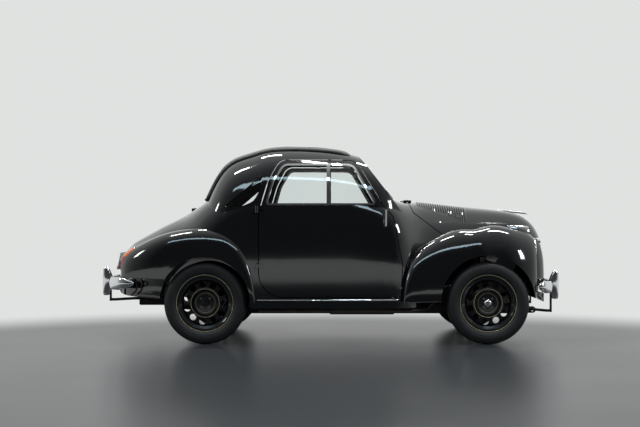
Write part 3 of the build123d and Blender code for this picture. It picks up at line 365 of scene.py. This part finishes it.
def down(tree, x, y, lift=0.0):
    """Point lift above the surface at x and y, or None past its edge."""
    hit, normal = tree.ray_cast(Vector((x, y, 3)), Vector((0, 0, -1)))[:2]
    return hit + normal * lift if hit else None


def across(tree, x, z, side, lift=0.0):
    """Point lift outside the surface at x and z on one side of the car, or None past its edge."""
    hit, normal = tree.ray_cast(Vector((x, side * 3, z)), Vector((0, -side, 0)))[:2]
    return hit + normal * lift if hit else None


def curve(points, count):
    """Smooth curve through the points, by Catmull-Rom spans."""
    p = np.array(points, float)
    p = np.vstack([2 * p[0] - p[1], p, 2 * p[-1] - p[-2]])
    out = []
    spans = len(p) - 3
    for t in np.linspace(0, spans, count):
        i = min(int(t), spans - 1)
        u = t - i
        a, b, c, d = p[i:i + 4]
        square, cube = 2 * a - 5 * b + 4 * c - d, 3 * b - a - 3 * c + d
        out.append(0.5 * (2 * b + (c - a) * u + square * u**2 + cube * u**3))
    return out


# ---------------------------------------------------------------- tyres and wheels
def tyre(centre):
    """Ribbed tyre with a gently waved pair of grooves each side of the middle rib."""
    steps = 180
    shape = [  # radius, distance from the middle
        (0.200, -0.046), (0.214, -0.056), (0.236, -0.0615), (0.255, -0.0605), (0.270, -0.056),
        (0.279, -0.050), (0.284, -0.046), (0.2875, -0.041), (0.2885, -0.0335), (0.2815, -0.0325),
        (0.2815, -0.0295), (0.2900, -0.0285), (0.2910, -0.0165), (0.2835, -0.0155), (0.2835, -0.0125),
        (0.2915, -0.0115), (0.2918, 0.0),
    ]
    outline = shape + [(r, -w) for r, w in reversed(shape[:-1])] + [(0.196, 0.036), (0.196, -0.036)]
    x, y, z = centre
    verts, faces = [], []
    n = len(outline)
    for k in range(steps):
        a = 2 * math.pi * k / steps
        for r, w in outline:
            tread = r > 0.2812 and abs(w) < 0.035
            wave = 0.0016 * math.sin(a * 60) if tread and abs(w) > 0.005 else 0.0
            notch = 0.004 if 0.0395 < abs(w) < 0.047 and k % 4 == 0 else 0.0
            verts.append((x + (r - notch) * math.cos(a), y + w + wave, z + (r - notch) * math.sin(a)))
    for k in range(steps):
        m = (k + 1) % steps
        for j in range(n):
            faces.append((k * n + j, k * n + (j + 1) % n, m * n + (j + 1) % n, m * n + j))
    return verts, faces


def ribs(centre, side):
    """Thin raised rings on a tyre's outer wall."""
    rows = []
    for r, w in ((0.2445, 0.0612), (0.226, 0.0590)):
        outline = [(r - 0.002, w - 0.0015), (r - 0.001, w + 0.0008), (r + 0.001, w + 0.0008),
                   (r + 0.002, w - 0.0015)]
        rows.append(ring(outline, centre, 96, side))
    return merged(*rows)


WHEEL_LINES = (  # radius, distance out, half width
    (0.1995, 0.0504, 0.0014),
    (0.1000, 0.0312, 0.0012),
    (0.0690, 0.0129, 0.0007),
)
for end, axle_x, axle_z, track in AXLES:
    for name, s in SIDES:
        body = "wheel_%s_%s" % (end, name)
        tyre_node = "tyre_%s_%s" % (end, name)
        c = (axle_x, s * track, axle_z)
        piece("tread_%s_%s" % (end, name), *tyre(c), body, RUBBER, "tyre_rubber", replaces=[tyre_node])
        piece("tyre_ribs_%s_%s" % (end, name), *ribs(c, s), body, RUBBER, "tyre_rubber")
        lines = []
        for r, w, half in WHEEL_LINES:
            outline = [(r - half, w - 0.0006), (r - half, w + 0.0005), (r + half, w + 0.0007),
                       (r + half, w - 0.0006)]
            lines.append(ring(outline, c, 128, s))
        piece("wheel_lines_%s_%s" % (end, name), *merged(*lines), body, CREAM)
        nuts = []
        for k in range(4):
            a = math.pi / 4 + k * math.pi / 2
            nuts.append(dome([(0, 0.010), (0.009, 0.010), (0.009, 0.021), (0.006, 0.026), (0, 0.027)],
                             (c[0] + 0.043 * math.cos(a), c[1], c[2] + 0.043 * math.sin(a)), 6, s))
        piece("wheel_nuts_%s_%s" % (end, name), *merged(*nuts), body, IRON, smooth=False)
        if end == "front":
            outline = [(0, 0.012), (0.030, 0.012), (0.031, 0.016), (0.0285, 0.024), (0.022, 0.031),
                       (0.012, 0.0348), (0, 0.036)]
            cap = dome(outline, c, 48, s)
            piece("hub_cap_%s" % name, *cap, body, CHROME, "bright_trim")


# ---------------------------------------------------------------- roof cloth
def folded_roof():
    """Roof cloth drawn over four bows: it dips between them, and its hem turns under."""
    target = surface("soft_top")
    hub = Vector((-0.40, 0, 1.02))
    rows, columns = 72, 49
    half = ROOF_HALF_WIDTH
    low, high = math.radians(21), math.radians(178.5)
    angles = [high + (low - high) * i / (rows - 1) for i in range(rows)]
    reach = np.full((rows, columns), np.nan)
    for i, a in enumerate(angles):
        out = Vector((math.cos(a), 0, math.sin(a)))
        for j in range(columns):
            y = -half + 2 * half * j / (columns - 1)
            start = Vector((hub.x, y * 0.995, hub.z)) + out * 2
            hit = target.ray_cast(start, -out)[0]
            if hit:
                reach[i, j] = (hit - Vector((hub.x, y * 0.995, hub.z))).length
    for j in range(columns):
        good = np.where(~np.isnan(reach[:, j]))[0]
        reach[:, j] = np.interp(range(rows), good, reach[good, j])
    for _ in range(3):
        reach[1:-1] = (reach[:-2] + 2 * reach[1:-1] + reach[2:]) / 4
        reach[:, 1:-1] = (reach[:, :-2] + 2 * reach[:, 1:-1] + reach[:, 2:]) / 4
    verts = []
    for i, a in enumerate(angles):
        for j in range(columns):
            y = -half + 2 * half * j / (columns - 1)
            x = hub.x + reach[i, j] * math.cos(a)
            bow = abs(math.sin(math.pi * (x + 0.80) / ROOF_BOW_PITCH)) if -0.80 < x < 0.14 else 0.6
            sag = 0.0035 * (1 - bow) * (1 - (y / half) ** 4)
            wrinkle = 0.0012 * math.sin(40 * y) * math.sin(23 * x) ** 2
            r = reach[i, j] - 0.0055 + sag - wrinkle
            verts.append((hub.x + r * math.cos(a), y, hub.z + r * math.sin(a)))
    faces = []
    for i in range(rows - 1):
        for j in range(columns - 1):
            mid = np.mean([verts[i * columns + j], verts[(i + 1) * columns + j + 1]], axis=0)
            if mid[0] < -0.6 and 1.116 < mid[2] < 1.226 and abs(mid[1]) < 0.187:
                continue
            k = i * columns + j
            faces.append((k, k + 1, k + columns + 1, k + columns))
    return verts, faces, rows, columns


verts, faces, rows, columns = folded_roof()
roof = piece("roof_cloth", verts, faces, "root", ROOF, "roof_cloth", replaces=["soft_top"])
grid = np.array(verts).reshape(rows, columns, 3)
thick = roof.modifiers.new("thickness", "SOLIDIFY")
thick.thickness = 0.003
thick.offset = -1
soft = roof.modifiers.new("soft", "SUBSURF")
soft.levels = soft.render_levels = 1
# the sheet is measured along its own grid, less the back light's opening of 0.38 by 0.13
edges = [grid[0], grid[-1], grid[:, 0], grid[:, -1]]
hem = [tube(e[::2] - np.array([0, 0, 0.006]), 0.010, 12) for e in edges]
piece("roof_hem", *merged(*hem), "root", ROOF, "roof_cloth")
seams = [grid[:, 7], grid[:, -8]] + [grid[k] for k in (14, 30, 46)]
stitching = [tube(e[::2] + np.array([0, 0, 0.0006]), 0.0016, 6) for e in seams]
piece("roof_seams", *merged(*stitching), "root", ROOF, "roof_cloth")


# ---------------------------------------------------------------- seats and controls
def pad(size, place, lean, pleats, rows=64, columns=120):
    """Stuffed pad: a blunt superellipsoid with pleats sewn along its front face (local +Z)."""
    verts, faces = [], []
    turn = Matrix.Rotation(math.radians(lean), 4, "Y")
    for i in range(1, rows):
        u = math.pi * i / rows - math.pi / 2
        for j in range(columns):
            v = 2 * math.pi * j / columns
            ring_size = power(math.cos(u), 0.35)
            p = Vector((ring_size * power(math.cos(v), 0.3), ring_size * power(math.sin(v), 0.3),
                        power(math.sin(u), 0.5)))
            p = Vector((p.x * size[0] / 2, p.y * size[1] / 2, p.z * size[2] / 2))
            if p.z > 0:
                share = p.y / (size[1] / 2)
                if abs(share) < 0.86:
                    puff = abs(math.cos(math.pi * pleats * (share + 1) / 2)) ** 0.6
                    p.z -= 0.007 * (1 - puff) * (1 - abs(p.x / (size[0] / 2)) ** 6)
                p.z += 0.006 * (1 - share * share)
            verts.append(turn @ p + Vector(place))
    n = rows - 1
    for i in range(n - 1):
        for j in range(columns):
            k = (j + 1) % columns
            faces.append((i * columns + j, i * columns + k, (i + 1) * columns + k, (i + 1) * columns + j))
    bottom, top = len(verts), len(verts) + 1
    verts += [turn @ Vector((0, 0, end * size[2] / 2)) + Vector(place) for end in (-1, 1)]
    for j in range(columns):
        k = (j + 1) % columns
        faces += [(bottom, k, j), (top, (n - 1) * columns + j, (n - 1) * columns + k)]
    return verts, faces


for index, (name, s) in enumerate(SIDES):
    cushion = pad((0.43, 0.42, 0.118), (-0.0275, s * SEAT_Y, 0.492), -3.5, 7)
    seat = piece("seat_cushion_%s" % name, *cushion, "root", SEAT, "seat_fabric",
                 replaces=["seats"] if index == 0 else [])
    squab = pad((0.47, 0.42, 0.098), (-0.334, s * SEAT_Y, 0.752), 71.5, 7)
    back = piece("seat_back_%s" % name, *squab, "root", SEAT, "seat_fabric")


def on_column(part):
    """A part made round the Z axis, set on the steering column."""
    verts, faces = part
    return [TURN @ Vector(v) + HUB for v in verts], faces


def torus(radius, thickness, steps=96, sides=14):
    """Round ring about the Y axis."""
    turns = [2 * math.pi * k / sides for k in range(sides)]
    outline = [(radius + thickness * math.cos(a), thickness * math.sin(a)) for a in turns]
    return ring(outline, (0, 0, 0), steps)


def upright(part):
    """A part made round the Y axis, turned to stand round the Z axis."""
    verts, faces = part
    return [(x, -z, y) for x, y, z in verts], faces


spokes = []
for angle in (90, 210, 330):
    a = math.radians(angle)
    for shift in (-0.006, 0.006):
        side = Vector((-math.sin(a), math.cos(a), 0)) * shift
        line = [Vector((r * math.cos(a), r * math.sin(a), z)) + side
                for r, z in ((0.02, 0.004), (0.11, -0.002), (0.198, 0))]
        spokes.append(tube(line, 0.003, 8))
boss = dome([(0, -0.018), (0.029, -0.018), (0.0295, 0.006), (0.024, 0.014), (0, 0.017)], (0, 0, 0))
wheel_rim = on_column(merged(upright(torus(0.2, 0.0098)), upright(boss)))
piece("steering_wheel_rim", *wheel_rim, "steering_wheel", BAKELITE, "wheel_bakelite",
      replaces=["steering_wheel"])
piece("steering_wheel_spokes", *on_column(merged(*spokes)), "steering_wheel", CHROME)
button = dome([(0, 0.012), (0.018, 0.012), (0.0175, 0.0165), (0.012, 0.019), (0, 0.0198)], (0, 0, 0))
piece("horn_button", *on_column(upright(button)), "steering_wheel", CHROME)
bezel = [(0, 0.0), (0.048, 0.0), (0.048, 0.010), (0.044, 0.013), (0.042, 0.010), (0, 0.009)]
piece("gauge_rim", *dome(bezel, GAUGE, 48, -1, "X"), "root", CHROME)
face = [(0, 0.0088), (0.0415, 0.0088), (0.0415, 0.0102), (0, 0.0102)]
piece("gauge_face", *dome(face, GAUGE, 48, -1, "X"), "root", DIAL)

# ---------------------------------------------------------------- lamps
BOWL = [(0, 0.012), (0.030, 0.016), (0.055, 0.030), (0.070, 0.052), (0.073, 0.056), (0.073, 0.050),
        (0.052, 0.020), (0.025, 0.007), (0, 0.004)]
RIM = [(0.0800, -0.004), (0.0835, 0.0), (0.0825, 0.006), (0.077, 0.008), (0.0745, 0.003), (0.0745, -0.004)]
for name, s in SIDES:
    dish = dome(BOWL, (LAMP_BOWL_X, s * LAMP_Y, LAMP_Z), 48, 1, "X")
    piece("lamp_dish_%s" % name, *dish, "root", CHROME)
    verts, faces = ring(RIM, (0, 0, 0), 96)
    verts = [(y + LAMP_RIM_X, s * LAMP_Y + x, LAMP_Z + z) for x, y, z in verts]
    piece("lamp_rim_%s" % name, verts, [tuple(reversed(f)) for f in faces], "root", CHROME, "bright_trim")

# ---------------------------------------------------------------- louvres and fender piping
bonnet = surface("bonnet")
louvres = []
for s in (-1, 1):
    for k in range(LOUVRES):
        x = LOUVRE_X + k * LOUVRE_PITCH
        back, front = [], []
        for y in np.linspace(0.130, 0.285, 9):
            base = down(bonnet, x, s * y)
            ahead = down(bonnet, x + 0.011, s * y)
            edge = 1 - abs((y - 0.2075) / 0.0775) ** 4
            back.append(base + Vector((0, 0, 0.0005 + 0.0052 * edge)))
            front.append(ahead + Vector((0, 0, 0.0004)))
        louvres.append(tube(back, [0.0012] + [0.0016] * 7 + [0.0012], 6))
        n = len(back)
        verts = back + front + [p - Vector((0, 0, 0.003)) for p in back + front]
        faces = []
        for i in range(n - 1):
            faces += [(i, i + 1, n + i + 1, n + i), (2 * n + i, 3 * n + i, 3 * n + i + 1, 2 * n + i + 1),
                      (i, 2 * n + i, 2 * n + i + 1, i + 1), (n + i, n + i + 1, 3 * n + i + 1, 3 * n + i)]
        faces += [(0, n, 3 * n, 2 * n), (n - 1, 3 * n - 1, 4 * n - 1, 2 * n - 1)]
        louvres.append((verts, faces))
# painted shade: a dark flat strip under each louvre's raised edge stands in for the shade in its opening,
# since the bonnet is not cut through
gaps = []
for s in (-1, 1):
    for k in range(LOUVRES):
        x = LOUVRE_X + k * LOUVRE_PITCH
        line = [down(bonnet, x - 0.0032, s * y) + Vector((0, 0, 0.0003))
                for y in np.linspace(0.134, 0.281, 9)]
        gaps.append(tube(line, 0.0022, 6, 0.35))
piece("louvre_gap_shade", *merged(*gaps), "bonnet", GAP_SHADE)
piece("bonnet_louvres", *merged(*louvres), "bonnet", PAINT, "body_paint", smooth=False)


def fender_seam(fender, xs, side):
    """Line where a fender's top meets the body, found from above."""
    points = []
    for x in xs:
        inner, outer = 0.10, 0.62
        if down(fender, x, side * (outer - 0.06)) is None:
            continue
        for _ in range(14):
            y = (inner + outer) / 2
            if down(fender, x, side * y) is None:
                inner = y
            else:
                outer = y
        points.append(down(fender, x, side * (outer + 0.0005), 0.0012))
    return points


pipes = []
fenders = ((surface("front_fenders"), 0.60, 1.40), (surface("rear_fenders"), -1.42, -0.62))
for s in (-1, 1):
    for fender, start, end in fenders:
        pipes.append(tube(fender_seam(fender, np.linspace(start, end, 34), s), 0.0028, 8))
piece("fender_piping", *merged(*pipes), "root", SEAL)

# ---------------------------------------------------------------- sill strips and bonnet spear
body_sides = surface("body_side_left", "body_side_right")
strips = []
for s in (-1, 1):
    for start, end, radius in ((-0.52, -0.012, 0.003), (-0.008, 0.487, 0.0055)):
        line = [across(body_sides, x, SILL_STRIP_Z, s, 0.001) for x in np.linspace(start, end, 24)]
        strips.append(tube([p for p in line if p], radius, 8))
piece("sill_strips", *merged(*strips), "root", CHROME, "bright_trim")

spear_line = [(1.262, 0, 0.951), (1.310, 0, 0.949), (1.370, 0, 0.944), (1.440, 0, 0.936), (1.497, 0, 0.925)]
spear_radii = [0.003, 0.005, 0.007, 0.008, 0.009] + [0.010] * 5 + [0.0095, 0.009, 0.008, 0.006, 0.004]
spear = tube(curve(spear_line, len(spear_radii)), spear_radii, 12, 0.8)
piece("bonnet_spear", *spear, "bonnet", CHROME, "bright_trim")


# ---------------------------------------------------------------- bumpers, wipers and tail lamp trim
def blade(path, height, middle_z):
    """Bowed bumper blade, domed outwards and rounded at both ends."""
    points = curve([(x, -y) for x, y in reversed(path[1:])] + path, 97)
    far = abs(points[0][1])
    centres, radii = [], []
    for x, y in points:
        end = min((far - abs(y)) / 0.028 + 0.02, 1)
        centres.append((x, y, middle_z + 0.004 * (abs(y) / far) ** 4))
        radii.append(BLADE_HALF_DEPTH * max(math.sqrt(1 - (1 - end) ** 2), 0.15))
    return tube(centres, radii, 24, height / 2 / BLADE_HALF_DEPTH)


RIDER = [  # height, outer and inner face behind the bumper's reach, half width
    (-0.104, 0.016, 0.036, 0.005), (-0.101, 0.009, 0.045, 0.011), (-0.093, 0.004, 0.054, 0.016),
    (-0.072, 0.001, 0.062, 0.019), (-0.040, 0.0, 0.070, 0.0205), (0.0, 0.0, 0.073, 0.021),
    (0.032, 0.0, 0.071, 0.0205), (0.062, 0.001, 0.061, 0.019), (0.082, 0.002, 0.051, 0.0165),
    (0.096, 0.005, 0.042, 0.013), (0.103, 0.010, 0.034, 0.008), (0.105, 0.016, 0.028, 0.004),
]


def overrider(face, sign, y, middle_z):
    """Upright bumper horn: nearly flat outside, bulging over the blade inside."""
    rows = []
    for rise, outer, inner, half in curve(RIDER, 45):
        centre = (face - sign * (outer + inner) / 2, y, middle_z + rise)
        rows.append(oval(centre, (inner - outer) / 2, half, 2.6))
    return loft(rows)


front_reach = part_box("front_bumper")[1][0] - 0.002
rear_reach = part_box("rear_bumper")[0][0] + 0.002
FRONT_BLADE = [(1.608, 0.0), (1.606, 0.20), (1.598, 0.38), (1.575, 0.49), (1.535, 0.555), (1.500, 0.582),
               (1.469, 0.592)]
REAR_BLADE = [(-1.608, 0.0), (-1.606, 0.20), (-1.596, 0.38), (-1.568, 0.50), (-1.510, 0.575),
              (-1.450, 0.602), (-1.388, 0.612)]
HOOP = (  # iron behind a blade's end: ahead of that end, Y, above the blade's middle
    (0.050, 0.520, 0.062), (0.012, 0.535, 0.040), (-0.012, 0.540, 0), (-0.004, 0.535, -0.050),
    (0.030, 0.520, -0.080),
)
for name, face, sign, path, height, middle_z, rail_end, rail_z in (
    ("front", front_reach, 1, FRONT_BLADE, 0.086, 0.400, 1.4525, 0.2237),
    ("rear", rear_reach, -1, REAR_BLADE, 0.089, 0.427, -1.4075, 0.3047),
):
    piece("bumper_blade_%s" % name, *blade(path, height, middle_z), "root", CHROME, "bright_trim",
          replaces=["%s_bumper" % name])
    rider = overrider(face, sign, RIDER_Y, middle_z + 0.012)
    piece("overriders_%s" % name, *both(rider), "root", CHROME, "bright_trim")
    back = face - sign * 0.052
    line = [(rail_end - sign * 0.045, RAIL_Y, rail_z), (rail_end + sign * 0.03, RAIL_Y, rail_z),
            (back - sign * 0.034, RIDER_Y - 0.004, rail_z), (back, RIDER_Y - 0.004, rail_z)]
    arm = tube(line, 0.004, 8, 2.5)
    near, far = sorted((back, back - sign * 0.01))
    riser = cuboid((near, RIDER_Y - 0.02, rail_z - 0.01), (far, RIDER_Y + 0.012, middle_z + 0.02))
    end_x = path[-1][0]
    hoop = curve([(end_x + sign * ahead, y, middle_z + rise) for ahead, y, rise in HOOP], 21)
    piece("bumper_irons_%s" % name, *both(merged(arm, riser, tube(hoop, 0.006, 10))), "root", CHASSIS)


def screen(z, y, lift):
    """Point lift in front of the windscreen."""
    reach = math.hypot(1, SCREEN_SLOPE)
    return (0.4575 - SCREEN_SLOPE * (z - 1.005) - 0.016 * reach + lift * reach, y, z)


wipers = []
sweep = -0.10
for y in (-0.20, 0.13):
    foot = screen(1.030, y, 0.036)
    arm = [(foot[0], y, 1.004), foot, screen(1.052, y + 0.2 * sweep, 0.038),
           screen(1.110, y + 0.7 * sweep, 0.032)]
    bridge = [screen(1.046, y + 0.25 * sweep, 0.022), screen(1.105, y + 0.7 * sweep, 0.029),
              screen(1.164, y + 1.2 * sweep, 0.022)]
    wipers += [tube(arm, 0.0035, 8), tube(bridge, [0.0025, 0.0045, 0.0025], 8)]
    for height, out in ((1.052, 0.3), (1.105, 0.7), (1.158, 1.15)):
        claw = [screen(height, y + out * sweep, lift) for lift in (0.003, 0.024)]
        wipers.append(tube(claw, 0.002, 6))
piece("wiper_set", *merged(*wipers), "root", CHROME, "bright_trim", replaces=["wipers"])

strip = []
for k in range(33):
    a = math.pi * (0.04 + 0.72 * k / 32)
    c, d = math.cos(a), math.sin(a)
    strip.append((-1.3915, 0.520 + 0.0545 * math.copysign(abs(c) ** 0.833, c), 0.530 + 0.1605 * d**0.833))
piece("tail_lamp_trim", *both(tube(strip, 0.0028, 8)), "root", CHROME, "bright_trim")

# ---------------------------------------------------------------- camera, lights and floor
camera = bpy.data.objects.new("camera", bpy.data.cameras.new("camera"))
bpy.context.scene.collection.objects.link(camera)
camera.location = (0.052, -7.854, 0.88)
camera.rotation_euler = (math.radians(90), 0, 0)
camera.data.sensor_width = 36
camera.data.lens = 57.9
camera.data.shift_x = -0.028
camera.data.shift_y = 0.010
bpy.context.scene.camera = camera


def lamp(name, place, aim, size, watts, color=(1, 1, 1)):
    """Flat lamp aimed at a point."""
    data = bpy.data.lights.new(name, "AREA")
    data.shape = "RECTANGLE"
    data.size, data.size_y = size
    data.energy = watts
    data.color = color
    obj = bpy.data.objects.new(name, data)
    obj.location = place
    obj.rotation_euler = (Vector(aim) - Vector(place)).to_track_quat("-Z", "Y").to_euler()
    bpy.context.scene.collection.objects.link(obj)


for index, (x, y) in enumerate(((-2.3, -1.2), (-1.1, 0.3), (0.2, -1.5), (1.3, 0.2), (2.5, -1.3))):
    lamp("ceiling_%d" % index, (x, y, 4.3), (x, y, 0), (0.9, 0.22), 42)
lamp("window_band", (-0.4, -6.6, 4.8), (-0.2, 0, 0.8), (7.0, 0.5), 60, (0.66, 0.88, 1.0))
lamp("front_window", (4.8, -4.2, 2.6), (0.6, 0, 0.7), (0.5, 0.9), 36, (0.93, 0.97, 1.0))
lamp("rear_window", (-5.0, -3.2, 2.8), (-0.6, 0, 0.7), (0.5, 0.9), 30, (0.95, 0.98, 1.0))


def pale(name, color, glow, rough, middle, near, far):
    """Floor finish whose far part shows at its own brightness to the camera, to metal and through glass.

    That brightness fades in from near to far, as distances from a middle point."""
    m = shader(name, color, rough, vary=0.06, scale=0.8, rough_vary=0.05)
    tree = m.node_tree
    path = tree.nodes.new("ShaderNodeLightPath")
    seen = None
    for output in ("Is Camera Ray", "Is Glossy Ray", "Is Transmission Ray"):
        if seen is None:
            seen = path.outputs[output]
            continue
        top = tree.nodes.new("ShaderNodeMath")
        top.operation = "MAXIMUM"
        tree.links.new(seen, top.inputs[0])
        tree.links.new(path.outputs[output], top.inputs[1])
        seen = top.outputs["Value"]
    reach = tree.nodes.new("ShaderNodeVectorMath")
    reach.operation = "DISTANCE"
    reach.inputs[1].default_value = middle
    tree.links.new(tree.nodes["Texture Coordinate"].outputs["Object"], reach.inputs[0])
    fade = tree.nodes.new("ShaderNodeMapRange")
    fade.interpolation_type = "SMOOTHSTEP"
    fade.inputs["From Min"].default_value = near
    fade.inputs["From Max"].default_value = far
    tree.links.new(reach.outputs["Value"], fade.inputs["Value"])
    share = tree.nodes.new("ShaderNodeMath")
    share.operation = "MULTIPLY"
    tree.links.new(seen, share.inputs[0])
    tree.links.new(fade.outputs["Result"], share.inputs[1])
    light = tree.nodes.new("ShaderNodeEmission")
    light.inputs["Color"].default_value = (*glow, 1)
    light.inputs["Strength"].default_value = 1.0
    mix = tree.nodes.new("ShaderNodeMixShader")
    tree.links.new(share.outputs["Value"], mix.inputs["Fac"])
    tree.links.new(tree.nodes["Principled BSDF"].outputs["BSDF"], mix.inputs[1])
    tree.links.new(light.outputs["Emission"], mix.inputs[2])
    tree.links.new(mix.outputs["Shader"], tree.nodes["Material Output"].inputs["Surface"])
    return m


FLOOR = pale("floor", (0.030, 0.033, 0.037), (0.745, 0.76, 0.749), 0.30, middle=(0, -3, 0),
             near=4.0, far=5.45)
FLOOR_REACH = 16
corners = [(x * FLOOR_REACH, y * FLOOR_REACH, 0) for x, y in ((-1, -1), (1, -1), (1, 1), (-1, 1))]
mesh = bpy.data.meshes.new("floor")
mesh.from_pydata(corners, [], [(0, 1, 2, 3)])
mesh.materials.append(FLOOR)
ground = bpy.data.objects.new("floor", mesh)
bpy.context.scene.collection.objects.link(ground)

# pale behind the car and dim before it, so that the near side stays dark; the camera sees it evenly
world = bpy.data.worlds.new("world")
bpy.context.scene.world = world
world.use_nodes = True
tree = world.node_tree
sky = tree.nodes["Background"]
place = tree.nodes.new("ShaderNodeTexCoord")
split = tree.nodes.new("ShaderNodeSeparateXYZ")
tree.links.new(place.outputs["Generated"], split.inputs["Vector"])
ramp = tree.nodes.new("ShaderNodeMapRange")
ramp.inputs["From Min"].default_value = -0.9
ramp.inputs["From Max"].default_value = -0.1
ramp.inputs["To Min"].default_value = 0.05
ramp.inputs["To Max"].default_value = 0.80
tree.links.new(split.outputs["Y"], ramp.inputs["Value"])
shown = tree.nodes.new("ShaderNodeMix")
shown.inputs["B"].default_value = 0.76
path = tree.nodes.new("ShaderNodeLightPath")
tree.links.new(path.outputs["Is Camera Ray"], shown.inputs["Factor"])
tree.links.new(ramp.outputs["Result"], shown.inputs["A"])
tree.links.new(shown.outputs["Result"], sky.inputs["Strength"])
sky.inputs["Color"].default_value = (0.98, 1.0, 0.985, 1)
